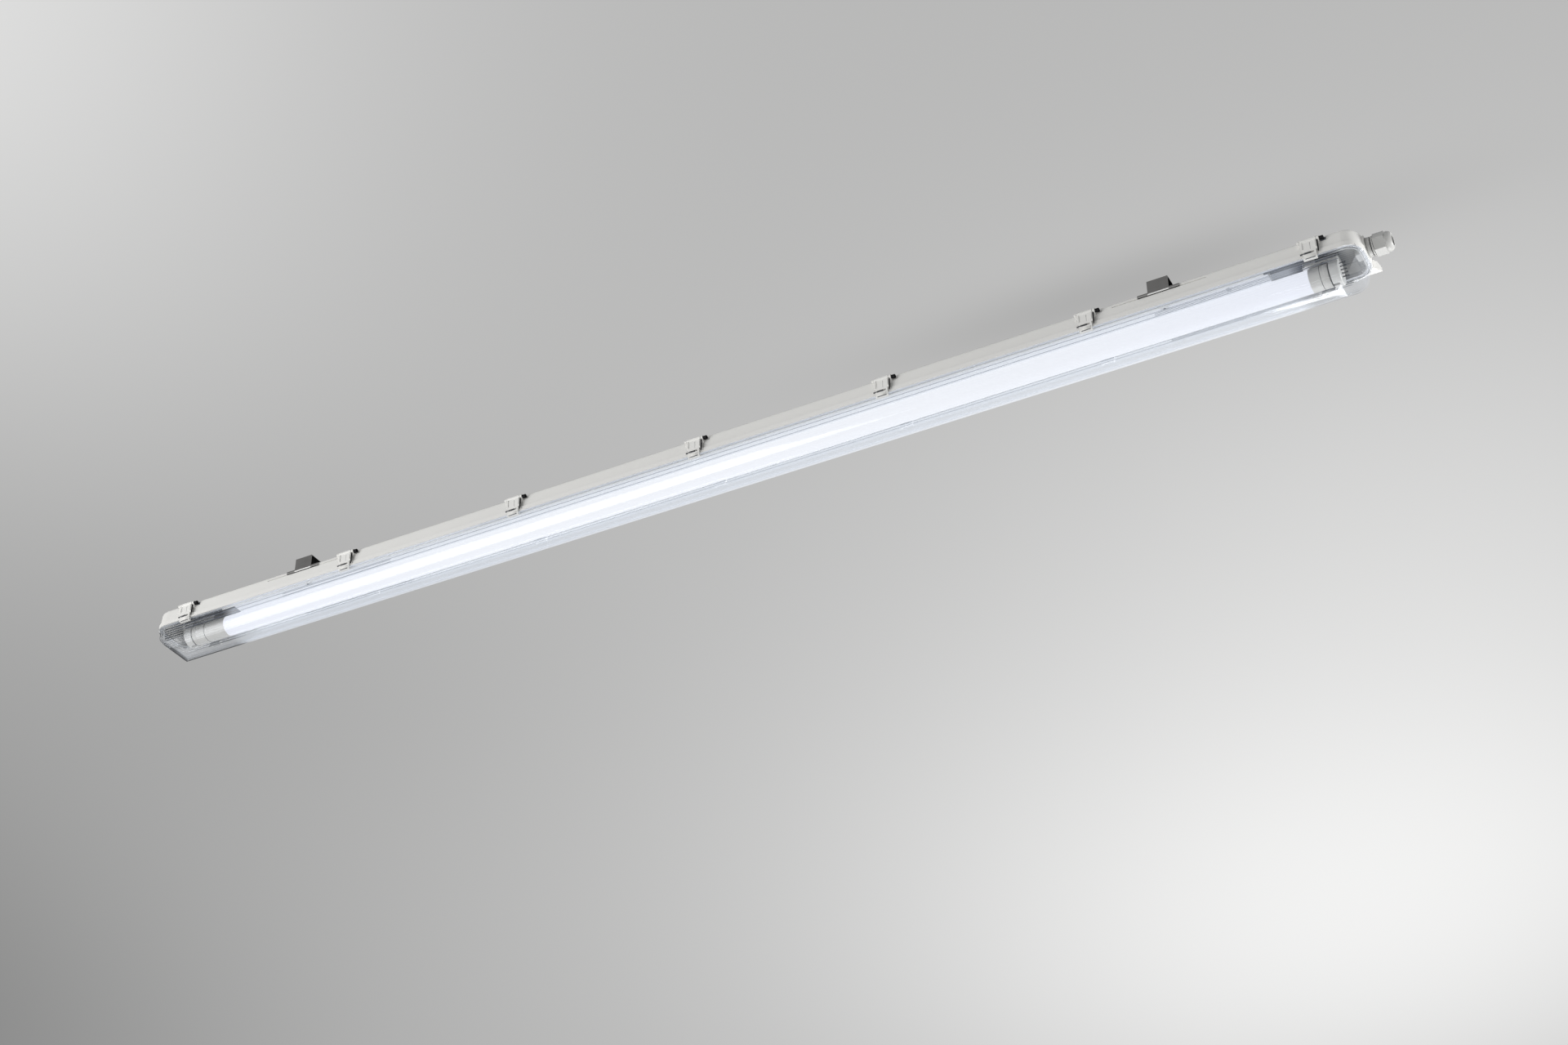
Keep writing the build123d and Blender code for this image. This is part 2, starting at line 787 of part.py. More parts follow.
def tray_latch(x, y):
    """Quarter-turn knob whose shaft turns in a post of the housing."""
    knob = rod_z(latch_knob_radius, x, y, (tray_level - latch_knob_height, tray_level))
    knob = fillet(knob.edges().group_by(Axis.Z)[0], latch_knob_height / 3)
    slot = block(
        (x - latch_knob_radius, x + latch_knob_radius),
        (y - latch_slot_width / 2, y + latch_slot_width / 2),
        (tray_level - latch_knob_height - overrun, tray_level - latch_knob_height + latch_slot_depth),
    )
    shaft = rod_z(latch_shaft_radius, x, y, (tray_level, tray_level + latch_shaft_length))
    return knob - slot + shaft


def lamp_rod(radius, start, finish):
    """Round bar on the lamp's axis."""
    return rod_x(radius, (min(start, finish), max(start, finish)), 0, lamp_level)


def tube_glass():
    """Glass tube between the two collars."""
    start = left_face + cap_length_left + collar_length_left - glass_lap
    finish = right_face - cap_length_right - collar_length_right + glass_lap
    return lamp_rod(glass_radius, start, finish) - lamp_rod(glass_radius - glass_wall, start, finish)


def tube_collar(face, inward, cap_length, collar_length):
    """Unlit collar that takes the glass on one side and the turning cap on the other."""
    start = face + inward * cap_length
    finish = start + inward * collar_length
    collar = lamp_rod(lamp_radius, start, finish)
    collar -= lamp_rod(glass_radius, finish - inward * glass_lap, finish + inward * overrun)
    end_wall = start + inward * cap_spigot_length
    collar -= lamp_rod(lamp_radius - collar_wall, end_wall, finish)
    collar -= lamp_rod(cap_spigot_radius + turning_clearance, start - inward * overrun, end_wall)
    return collar


def tube_cap(face, inward, cap_length, gap):
    """Turning end cap with its spigot in the collar and holes for the contact pins."""
    start = face + inward * gap
    finish = face + inward * cap_length
    cap = lamp_rod(lamp_radius, start, finish)
    rim_edges = cap.edges().filter_by(GeomType.CIRCLE)
    cap = fillet(rim_edges, cap_edge_radius)
    cap += lamp_rod(cap_spigot_radius, finish, finish + inward * cap_spigot_length)
    hollow_end = finish + inward * (cap_spigot_length + overrun)
    cap -= lamp_rod(cap_spigot_radius - cap_wall, start + inward * contact_pin_root, hollow_end)
    for y in (-pin_spacing / 2, pin_spacing / 2):
        low, high = sorted((start - inward * overrun, start + inward * (contact_pin_root + overrun)))
        cap -= rod_x(contact_pin_radius, (low, high), y, lamp_level)
    return cap


def cap_pins():
    """Contact pins of both caps, level in the working position."""
    pins = []
    for face, inward, gap in ((left_face, 1, cap_gap_left), (right_face, -1, cap_gap_right)):
        start = face + inward * (gap + contact_pin_root)
        finish = face - inward * (rotor_thickness - pin_tip_gap)
        for y in (-pin_spacing / 2, pin_spacing / 2):
            pins.append(rod_x(contact_pin_radius, sorted((start, finish)), y, lamp_level))
    return Compound(pins)


def board_range():
    """Ends of the LED board, just inside the collars."""
    start = left_face + cap_length_left + collar_length_left - board_end_lap
    finish = right_face - cap_length_right - collar_length_right + board_end_lap
    return start, finish


def led_board():
    """LED board across the glass above the lamp's axis."""
    low = lamp_level + board_rise
    inner = glass_radius - glass_wall
    half = math.sqrt(inner**2 - (board_rise + board_thickness) ** 2) - board_edge_gap
    return block(board_range(), (-half, half), (low, low + board_thickness))


def led_chips():
    """LED packages under the board, in one evenly spaced row."""
    start, finish = board_range()
    count = int((finish - start - 2 * board_end_lap) // chip_pitch)
    middle = (start + finish) / 2
    low = lamp_level + board_rise - chip_height
    chips = []
    for index in range(count + 1):
        x = middle + (index - count / 2) * chip_pitch
        chips.append(block(
            (x - chip_length / 2, x + chip_length / 2), (-chip_width / 2, chip_width / 2),
            (low, low + chip_height),
        ))
    return Compound(chips)


def tube_driver():
    """Driver board in the long collar, with a choke and a fuse on it."""
    collar_bottom = lamp_level - math.sqrt(
        (lamp_radius - collar_wall) ** 2 - (driver_width / 2) ** 2
    )
    start = left_face + cap_length_left + cap_spigot_length
    finish = start + driver_length
    y_range = (-driver_width / 2, driver_width / 2)
    board = block((start, finish), y_range, (collar_bottom, collar_bottom + driver_thickness))
    rise = collar_bottom + driver_thickness
    choke_x = start + driver_length / 3
    board += rod_z(coil_radius, choke_x, 0, (rise, rise + coil_length))
    fuse_x = (finish - fuse_length - fuse_radius, finish - fuse_radius)
    return board + rod_x(fuse_radius, fuse_x, driver_width / 4, rise + fuse_radius / 2)


def lampholder(face, outward):
    """Lampholder: head with the rotor chamber and entry slot, neck, and foot over the lamp."""
    back = face + outward * holder_thickness
    top = rim_level + holder_top
    head = lamp_rod(holder_head_radius, face, back)
    x_range = sorted((face, back))
    head += block(x_range, (-holder_neck_width / 2, holder_neck_width / 2), (lamp_level, top))
    face_edges = head.edges().group_by(Axis.X)[-1 if outward > 0 else 0]
    head = chamfer(face_edges, holder_edge_radius)
    foot_end = face - outward * holder_foot_length
    foot_range = sorted((face, foot_end))
    half = holder_foot_width / 2
    foot = block(foot_range, (-half, half), (rim_level + holder_foot_bottom, top))
    corner_edges = foot.edges().filter_by(Axis.Z).group_by(Axis.X)[0 if outward > 0 else -1]
    head += fillet(corner_edges, holder_corner_radius)
    chamber_end = face + outward * (rotor_thickness + contact_gap + contact_thickness)
    mouth = face - outward * overrun
    head -= lamp_rod(rotor_radius + rotor_clearance, face, chamber_end)
    head -= block(
        sorted((mouth, face + outward * rotor_thickness)),
        (-entry_slot_width / 2, entry_slot_width / 2),
        (lamp_level - holder_head_radius - overrun, lamp_level),
    )
    low = rim_level + holder_foot_bottom
    for x, y in holder_screw_places():
        if min(foot_range) <= x <= max(foot_range):
            head -= rod_z(screw_shank_radius, x, y, (low, top + overrun))
            head -= rod_z(screw_head_radius, x, y, (low - overrun, low + screw_head_height))
    return head


def lamp_rotor(face, outward):
    """Rotor disc that turns with the lamp's pins."""
    disc = lamp_rod(rotor_radius, face, face + outward * rotor_thickness)
    return disc - block(
        sorted((face - outward * overrun, face + outward * (rotor_thickness + overrun))),
        (-rotor_slot_length / 2, rotor_slot_length / 2),
        (lamp_level - rotor_slot_width / 2, lamp_level + rotor_slot_width / 2),
    )


def lampholder_contacts():
    """Spring leaves behind the pins of both lampholders."""
    leaves = []
    for face, outward in ((left_face, -1), (right_face, 1)):
        start = face + outward * (rotor_thickness + contact_gap)
        x_range = sorted((start, start + outward * contact_thickness))
        for side in (-1, 1):
            y = side * pin_spacing / 2
            leaves.append(block(
                x_range, (y - contact_width / 2, y + contact_width / 2),
                (lamp_level - contact_length / 2, lamp_level + contact_length / 2),
            ))
    return Compound(leaves)


def slotted_screw(x, y, head_low, length):
    """Flat-headed screw that points up."""
    head = rod_z(screw_head_radius, x, y, (head_low, head_low + screw_head_height))
    drive = block(
        (x - screw_head_radius, x + screw_head_radius),
        (y - screw_drive_width / 2, y + screw_drive_width / 2),
        (head_low - overrun, head_low + screw_head_height / 2),
    )
    return head - drive + rod_z(screw_shank_radius, x, y, (head_low, head_low + length))


def lampholder_screws():
    """Screws that hold the lampholder feet to their posts."""
    low = rim_level + holder_foot_bottom
    return Compound([slotted_screw(x, y, low, screw_length) for x, y in holder_screw_places()])


def gland_seal_washer():
    """Flat seal between the gland and the housing boss."""
    washer = rod_x(washer_radius, (half_length, half_length + washer_thickness), 0, gland_level)
    hole_range = (half_length - overrun, half_length + washer_thickness + overrun)
    return washer - rod_x(gland_thread_radius, hole_range, 0, gland_level)


def gland_body():
    """Gland body: spigot through the wall, ringed flange and the sleeve for the dome nut."""
    spigot_start = gland_inner_face - lock_nut_thickness - spigot_tail
    flange = half_length + washer_thickness
    neck = flange + body_flange_length
    collar = neck + body_neck_length
    sleeve = collar + body_collar_length
    finish = sleeve + body_sleeve_length
    body = rod_x(gland_thread_radius, (spigot_start, flange), 0, gland_level)
    body += rod_x(body_flange_radius, (flange, neck), 0, gland_level)
    body += rod_x(body_neck_radius, (neck, collar), 0, gland_level)
    body += rod_x(body_flange_radius, (collar, sleeve), 0, gland_level)
    body += rod_x(gland_thread_radius, (sleeve, finish), 0, gland_level)
    return body - rod_x(body_bore_radius, (spigot_start, finish), 0, gland_level)


def dome_nut_range():
    """Ends of the dome nut along X."""
    start = (
        half_length + washer_thickness + body_flange_length + body_neck_length
        + body_collar_length + dome_nut_gap
    )
    return start, start + dome_nut_length


def gland_lock_nut():
    """Lock nut inside the housing."""
    x_range = (gland_inner_face - lock_nut_thickness, gland_inner_face)
    nut = hexagon_x(lock_nut_width, x_range, 0, gland_level)
    return nut - rod_x(gland_thread_radius, x_range, 0, gland_level)


def gland_dome_nut():
    """Dome nut: hexagonal barrel, rounded nose and a round mouth."""
    start, finish = dome_nut_range()
    shoulder = finish - dome_length
    nut = hexagon_x(dome_nut_width, (start, shoulder), 0, gland_level)
    nut = fillet(nut.edges().filter_by(Axis.X), nut_flat_fillet)
    half = dome_nut_width / 2
    bulge = (shoulder + dome_length * math.sin(math.radians(45)), half - (half - dome_tip_radius) / 3)
    nose_outline = Polyline(
        (finish, 0, gland_level + dome_tip_radius), (finish, 0, gland_level),
        (shoulder, 0, gland_level), (shoulder, 0, gland_level + half),
    )
    nose_arc = ThreePointArc(
        (shoulder, 0, gland_level + half), (bulge[0], 0, gland_level + bulge[1]),
        (finish, 0, gland_level + dome_tip_radius),
    )
    axis = Axis((start, 0, gland_level), (1, 0, 0))
    nut += revolve(make_face([nose_outline, nose_arc]), axis)
    inner = gland_thread_radius + thread_clearance
    nut -= rod_x(inner, (start - overrun, finish - dome_wall), 0, gland_level)
    return nut - rod_x(dome_mouth_radius, (start, finish + overrun), 0, gland_level)


def gland_seal():
    """Rubber sealing ring inside the gland."""
    finish = dome_nut_range()[1] - dome_wall - cage_wall
    x_range = (finish - seal_length, finish)
    seal = rod_x(seal_outer_radius, x_range, 0, gland_level)
    return seal - rod_x(seal_bore_radius, x_range, 0, gland_level)


def gland_cage():
    """Clamping cage: a ring in front of the sleeve with fingers round the seal."""
    sleeve_end = (
        half_length + washer_thickness + body_flange_length + body_neck_length
        + body_collar_length + body_sleeve_length
    )
    outer = gland_thread_radius - thread_clearance
    finish = sleeve_end + cage_ring_length
    ring = rod_x(outer, (sleeve_end, finish), 0, gland_level)
    ring -= rod_x(seal_outer_radius, (sleeve_end, finish), 0, gland_level)
    slits = []
    for index in range(cage_finger_count // 2):
        slit = block(
            (finish - cage_ring_length / 2, finish), (-outer - overrun, outer + overrun),
            (gland_level - cage_finger_gap / 2, gland_level + cage_finger_gap / 2),
        )
        turn = index * 360 / cage_finger_count
        slits.append(slit.rotate(Axis((finish, 0, gland_level), (1, 0, 0)), turn))
    return ring.cut(*slits)


def terminal_entries(x_outer, inward):
    """Round wire entries on one face of the terminal block, as deep as the clamps."""
    level = tray_top + terminal_entry_rise
    clamp_face = terminal_place - inward * clamp_length / 2
    x_range = sorted((x_outer - inward * overrun, clamp_face))
    radius = wire_radius + terminal_entry_clearance
    return [
        rod_x(radius, x_range, terminal_lane(index), level) for index in range(terminal_poles)
    ]


def terminal_lane(index):
    """Side place of a pole of the terminal block."""
    return (index - (terminal_poles - 1) / 2) * terminal_pitch


def terminal_block():
    """Plastic terminal block on the tray."""
    x_range = (terminal_place - terminal_length / 2, terminal_place + terminal_length / 2)
    y_range = (-terminal_width / 2, terminal_width / 2)
    body = block(x_range, y_range, (tray_top, tray_top + terminal_height))
    top_edges = body.edges().group_by(Axis.Z)[-1]
    body = chamfer(top_edges, rivet_head_height)
    cuts = terminal_entries(x_range[0], 1) + terminal_entries(x_range[1], -1)
    level = tray_top + terminal_entry_rise
    for index in range(terminal_poles):
        y = terminal_lane(index)
        cuts.append(block(
            (terminal_place - clamp_length / 2, terminal_place + clamp_length / 2),
            (y - clamp_width / 2, y + clamp_width / 2),
            (level - clamp_height / 2, level + clamp_height / 2),
        ))
    for end in (-1, 1):
        y = end * rivet_spacing / 2
        rivet_top = tray_top + rivet_head_height
        cuts.append(rod_z(rivet_radius, terminal_place, y, (tray_top, rivet_top)))
    return body.cut(*cuts)


def terminal_clamps():
    """Metal clamps of the terminal block, one for each pole."""
    level = tray_top + terminal_entry_rise
    clamps = []
    for index in range(terminal_poles):
        y = terminal_lane(index)
        clamps.append(block(
            (terminal_place - clamp_length / 2, terminal_place + clamp_length / 2),
            (y - clamp_width / 2, y + clamp_width / 2),
            (level - clamp_height / 2, level + clamp_height / 2),
        ))
    return Compound(clamps)


def terminal_rivets():
    """Rivets that hold the terminal block on the tray."""
    rivets = []
    for end in (-1, 1):
        y = end * rivet_spacing / 2
        shank = rod_z(rivet_radius, terminal_place, y, (tray_level, tray_top + rivet_head_height))
        head_range = (tray_level - rivet_head_height, tray_level)
        rivets.append(shank + rod_z(rivet_head_radius, terminal_place, y, head_range))
    return Compound(rivets)


def wire(points, radius):
    """Round wire along straight runs joined by arcs."""
    path = FilletPolyline(*points, radius=radius)
    start = Plane(origin=path @ 0, z_dir=path % 0)
    return sweep(start * Circle(wire_radius), path)


def wire_live():
    """Live wire from the terminal block along the tray to the left lampholder's foot."""
    entry = terminal_place - clamp_length / 2
    clear = terminal_place - terminal_length / 2 - wire_bend_radius
    target = left_face + holder_foot_length
    high, low = tray_top + terminal_entry_rise, tray_top + wire_level
    end_level = rim_level + holder_foot_bottom + holder_wire_rise
    y = terminal_lane(0)
    points = [
        (entry, y, high), (clear, y, high), (clear - wire_drop_length, y / 2, low),
        (target + wire_drop_length, y / 2, low),
        (target + wire_bend_radius, y / 2, end_level), (target, y / 2, end_level),
    ]
    return wire(points, wire_bend_radius)


def wire_neutral():
    """Neutral wire from the terminal block to the right lampholder's foot."""
    entry = terminal_place + clamp_length / 2
    target = right_face - holder_foot_length
    high = tray_top + terminal_entry_rise
    end_level = rim_level + holder_foot_bottom + holder_wire_rise
    y = terminal_lane(terminal_poles - 1)
    run = (target - entry) / 4
    points = [
        (entry, y, high), (entry + run, y, high), (target - run, y / 2, end_level),
        (target, y / 2, end_level),
    ]
    return wire(points, wire_bend_radius)


def wire_earth():
    """Short earth wire from the middle pole to the earth screw's lug."""
    entry = terminal_place - clamp_length / 2
    high, low = tray_top + terminal_entry_rise, tray_top + wire_level
    finish = earth_screw_place + earth_barrel_length
    run = (entry - finish) / 3
    points = [
        (entry, 0, high), (entry - run, 0, high), (finish + run / 2, earth_screw_offset, low),
        (finish, earth_screw_offset, low),
    ]
    return wire(points, wire_bend_radius / 3)


def wire_clips():
    """Clips that hold the live wire on the tray."""
    y = terminal_lane(0) / 2
    level = tray_top + wire_level
    clips = []
    for index in range(wire_clip_count):
        share = index / (wire_clip_count - 1) - 1 / 2
        x = share * wire_clip_span - wire_clip_length
        x_range = (x - wire_clip_length / 2, x + wire_clip_length / 2)
        y_range = (y - wire_clip_width / 2, y + wire_clip_width / 2)
        clip = block(x_range, y_range, (tray_top, tray_top + wire_clip_height))
        top_edges = clip.edges().filter_by(Axis.X).group_by(Axis.Z)[-1]
        clip = chamfer(top_edges, wire_clip_height / 3)
        hole_range = (x_range[0] - overrun, x_range[1] + overrun)
        clips.append(clip - rod_x(wire_radius, hole_range, y, level))
    return Compound(clips)


def earth_screw():
    """Earth screw with its ring lug on the tray."""
    x, y = earth_screw_place, earth_screw_offset
    screw = rod_z(screw_shank_radius, x, y, (tray_level - screw_head_height, tray_top))
    ring_top = tray_top + 2 * wire_level
    screw += rod_z(earth_ring_radius, x, y, (tray_top, ring_top))
    screw += block(
        (x, x + earth_barrel_length), (y - wire_level, y + wire_level), (tray_top, ring_top)
    )
    screw += rod_z(screw_head_radius, x, y, (ring_top, ring_top + screw_head_height))
    drive = block(
        (x - screw_head_radius, x + screw_head_radius),
        (y - screw_drive_width / 2, y + screw_drive_width / 2),
        (ring_top + screw_head_height / 2, ring_top + screw_head_height + overrun),
    )
    return screw - drive


def all_parts():
    """Every node of the fixture by name."""
    parts = {
        "base_housing": base_housing(),
        "base_gasket": base_gasket(),
        "diffuser_cover": diffuser_cover(),
        "clip_pins": clip_pins(),
        "ceiling_bracket_left": ceiling_bracket(bracket_places()[0]),
        "ceiling_bracket_right": ceiling_bracket(bracket_places()[1]),
        "gear_tray": gear_tray(),
        "lampholder_left": lampholder(left_face, -1),
        "lampholder_right": lampholder(right_face, 1),
        "lamp_rotor_left": lamp_rotor(left_face, -1),
        "lamp_rotor_right": lamp_rotor(right_face, 1),
        "lampholder_contacts": lampholder_contacts(),
        "lampholder_screws": lampholder_screws(),
        "tube_glass": tube_glass(),
        "tube_collar_left": tube_collar(left_face, 1, cap_length_left, collar_length_left),
        "tube_collar_right": tube_collar(right_face, -1, cap_length_right, collar_length_right),
        "tube_cap_left": tube_cap(left_face, 1, cap_length_left, cap_gap_left),
        "tube_cap_right": tube_cap(right_face, -1, cap_length_right, cap_gap_right),
        "cap_pins": cap_pins(),
        "led_board": led_board(),
        "led_chips": led_chips(),
        "tube_driver": tube_driver(),
        "gland_body": gland_body(),
        "gland_seal_washer": gland_seal_washer(),
        "gland_lock_nut": gland_lock_nut(),
        "gland_dome_nut": gland_dome_nut(),
        "gland_seal": gland_seal(),
        "gland_cage": gland_cage(),
        "terminal_block": terminal_block(),
        "terminal_clamps": terminal_clamps(),
        "terminal_rivets": terminal_rivets(),
        "wire_live": wire_live(),
        "wire_neutral": wire_neutral(),
        "wire_earth": wire_earth(),
        "wire_clips": wire_clips(),
        "earth_screw": earth_screw(),
    }
    for index, place in enumerate(clip_places(), start=1):
        parts[f"clip_near_{index}"] = closing_clip(place, -1)
        parts[f"clip_far_{index}"] = closing_clip(place, 1)
    for index, (x, y) in enumerate(latch_places(), start=1):
        parts[f"tray_latch_{index}"] = tray_latch(x, y)
    return parts


os.makedirs("parts", exist_ok=True)
for name, part in all_parts().items():
    export_step(Pos(-bracket_shift, 0, 0) * part, f"parts/{name}.step")
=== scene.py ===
"""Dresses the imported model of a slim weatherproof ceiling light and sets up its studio."""

import logging
import math
from dataclasses import dataclass, field
from enum import Enum

import bpy
from mathutils import Matrix, Vector


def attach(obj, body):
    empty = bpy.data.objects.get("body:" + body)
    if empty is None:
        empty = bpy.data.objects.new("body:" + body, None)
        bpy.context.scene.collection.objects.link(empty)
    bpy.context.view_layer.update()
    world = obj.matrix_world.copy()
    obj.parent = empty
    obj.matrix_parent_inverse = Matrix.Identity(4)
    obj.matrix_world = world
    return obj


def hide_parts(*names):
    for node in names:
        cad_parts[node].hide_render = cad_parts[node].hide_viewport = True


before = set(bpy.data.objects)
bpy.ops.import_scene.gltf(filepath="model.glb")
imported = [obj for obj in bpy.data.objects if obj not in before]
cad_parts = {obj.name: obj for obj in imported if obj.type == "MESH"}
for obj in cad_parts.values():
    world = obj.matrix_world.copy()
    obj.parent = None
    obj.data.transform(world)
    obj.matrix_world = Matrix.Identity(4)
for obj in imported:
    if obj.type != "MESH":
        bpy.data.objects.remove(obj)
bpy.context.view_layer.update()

MM = 0.001
MIDDLE = -5.5 * MM  # X of the housing's middle
QUARTER_TURN = math.pi / 2
ALONG_X = (0, QUARTER_TURN, 0)
ALONG_Y = (QUARTER_TURN, 0, 0)
UPRIGHT = (0, 0, 0)
CLIP_COUNT = 7
LATCH_COUNT = 4
Colour = tuple[float, float, float]
Point = tuple[float, float, float]
Sockets = dict[object, object]
log = logging.getLogger("ceiling_light")


class Side(Enum):
    """The two long sides of the fixture, with the sign of their Y."""

    NEAR = -1
    FAR = 1


class End(Enum):
    """The two ends of the fixture, with the sign of their X."""

    LEFT = -1
    RIGHT = 1


def shade(*levels: int) -> Colour:
    """A display colour, in steps of 0 to 255, as linear light."""
    shares = (level / 255 for level in levels)
    return tuple(s / 12.92 if s <= 0.04045 else ((s + 0.055) / 1.055) ** 2.4 for s in shares)


def node(name: str) -> bpy.types.Object:
    """The CAD node of a name."""
    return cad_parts[name]


def stand(name: str, data: bpy.types.ID) -> bpy.types.Object:
    """A new object of the scene with the given data."""
    thing = bpy.data.objects.new(name, data)
    bpy.context.scene.collection.objects.link(thing)
    return thing


class Value:
    """A socket that takes part in sums: each operator adds its Math node."""

    def __init__(self, nodes: "NodeTree", socket: bpy.types.NodeSocket) -> None:
        self.nodes = nodes
        self.socket = socket

    def _math(self, operation: str, *terms: object) -> "Value":
        return self.nodes.value("ShaderNodeMath", dict(enumerate(terms)), operation=operation)

    def __add__(self, other: object) -> "Value":
        return self._math("ADD", self, other)

    __radd__ = __add__

    def __sub__(self, other: object) -> "Value":
        return self._math("SUBTRACT", self, other)

    def __rsub__(self, other: object) -> "Value":
        return self._math("SUBTRACT", other, self)

    def __mul__(self, other: object) -> "Value":
        return self._math("MULTIPLY", self, other)

    __rmul__ = __mul__

    def __truediv__(self, other: object) -> "Value":
        return self._math("DIVIDE", self, other)

    def __pow__(self, other: object) -> "Value":
        return self._math("POWER", self, other)

    def most(self, other: object) -> "Value":
        """The greater of this and another value."""
        return self._math("MAXIMUM", self, other)

    def share(self) -> "Value":
        """This value, held between nought and one."""
        return self._math("MINIMUM", self, 1.0).most(0.0)

    def above(self, limit: object) -> "Value":
        """One where this value is over a limit, and nought elsewhere."""
        return self._math("GREATER_THAN", self, limit)

    def exp(self) -> "Value":
        """e to the power of this value."""
        return self._math("EXPONENT", self)

    def size(self) -> "Value":
        """This value without its sign."""
        return self._math("ABSOLUTE", self)

    def sine(self) -> "Value":
        """The sine of this value."""
        return self._math("SINE", self)


class NodeTree:
    """A node tree, of a material, the world or geometry, and one way to add any node."""

    def __init__(self, tree: bpy.types.NodeTree) -> None:
        self.tree = tree

    def add(self, kind: str, sockets: Sockets | None = None, **settings: object) -> bpy.types.Node:
        """Adds a node.

        Args:
            kind: the node's type.
            sockets: values or links of its inputs by name or number.
            settings: its properties, set first.

        Returns:
            The new node.
        """
        node = self.tree.nodes.new(kind)
        for name, setting in settings.items():
            setattr(node, name, setting)
        for key, given in (sockets or {}).items():
            target = node.inputs[key]
            source = given.socket if isinstance(given, Value) else given
            if isinstance(source, bpy.types.NodeSocket):
                self.tree.links.new(source, target)
            elif target.type == "RGBA" and len(given) == 3:
                target.default_value = (*given, 1)
            else:
                target.default_value = given
        return node

    def value(
        self, kind: str, sockets: Sockets | None = None, output: object = 0, **settings: object
    ) -> Value:
        """Adds a node, as add does, and gives one of its outputs as a Value."""
        return Value(self, self.add(kind, sockets, **settings).outputs[output])

    def blend(self, share: object, first: object, second: object) -> Value:
        """Two colours mixed, with the share of the second, from nought to one."""
        return self.value("ShaderNodeMix", {0: share, 6: first, 7: second}, 2, data_type="RGBA")


class MaterialTree(NodeTree):
    """The node tree of one material, with the patterns that several finishes share."""

    def __init__(self, name: str) -> None:
        self.material = bpy.data.materials.new(name)
        self.material.use_nodes = True
        super().__init__(self.material.node_tree)
        self.tree.nodes.clear()
        self.place = self.value("ShaderNodeTexCoord", output="Object")

    def noise(self, scale: float, detail: float = 2.0, stretch: Point = (1, 1, 1)) -> Value:
        """Smooth noise on the piece's own coordinates.

        Args:
            scale: features to the metre.
            detail: octaves.
            stretch: factors on the three axes; a small one draws the pattern out.

        Returns:
            The noise, about one half in the mean.
        """
        place = self.place
        if stretch != (1, 1, 1):
            place = self.value("ShaderNodeMapping", {"Vector": place, "Scale": stretch})
        return self.value("ShaderNodeTexNoise", {"Vector": place, "Scale": scale, "Detail": detail})

    def axis(self, name: str) -> Value:
        """One of the three object coordinates, X, Y or Z."""
        return self.value("ShaderNodeSeparateXYZ", {0: self.place}, name)

    def bump(self, height: Value, depth: float, strength: float) -> Value:
        """A normal that follows a height of a depth in metres, as far as its strength goes."""
        sockets = {"Height": height, "Distance": depth, "Strength": strength}
        return self.value("ShaderNodeBump", sockets, "Normal")

    def clear(self, tint: object = (1, 1, 1)) -> bpy.types.NodeSocket:
        """A see-through shader with a tint."""
        return self.add("ShaderNodeBsdfTransparent", {"Color": tint}).outputs[0]

    def mixed(self, share: object, first: object, second: object) -> Value:
        """Two shaders mixed, with the share of the second, from nought to one."""
        return self.value("ShaderNodeMixShader", {0: share, 1: first, 2: second})

    def principled(
        self, colour: object, roughness: object, normal: Value | None = None, **more: object
    ) -> bpy.types.NodeSocket:
        """A Principled shader.

        Args:
            colour, roughness, normal: what its first sockets get.
            more: further sockets by name in small letters, with _ between the words.

        Returns:
            Its output.
        """
        sockets = {"Base Color": colour, "Roughness": roughness}
        if normal:
            sockets["Normal"] = normal
        sockets |= {name.replace("_", " ").title(): given for name, given in more.items()}
        return self.add("ShaderNodeBsdfPrincipled", sockets).outputs[0]

    def finish(self, shader: object) -> bpy.types.Material:
        """Leads a shader to the output and gives the finished material."""
        self.add("ShaderNodeOutputMaterial", {"Surface": shader})
        return self.material


@dataclass(frozen=True)
class Finish:
    """A surface finish. Each kind below draws its own nodes.

    Attributes:
        name: the material's name.
        colour: its main colour in linear light.
        roughness: its mean roughness.
    """

    name: str
    colour: Colour
    roughness: float

    def tone(self, factor: float, lift: float = 0.0) -> Colour:
        """The main colour times a factor, with a lift, and at most white."""
        return tuple(min(1.0, c * factor + lift) for c in self.colour)

    def uneven(self, pattern: Value, drift: float) -> Value:
        """The roughness, which wanders with a pattern about its mean."""
        return pattern * drift + (self.roughness - drift / 2)

    def nodes(self, tree: MaterialTree) -> object:
        """The shader of this finish."""
        raise NotImplementedError

    def material(self) -> bpy.types.Material:
        """This finish as a material, made on its first use."""
        known = bpy.data.materials.get(self.name)
        if known is None:
            tree = MaterialTree(self.name)
            known = tree.finish(self.nodes(tree))
        return known

    def dress(self, *names: str) -> None:
        """Puts this finish on whole CAD nodes."""
        for name in names:
            materials = node(name).data.materials
            materials.clear()
            materials.append(self.material())


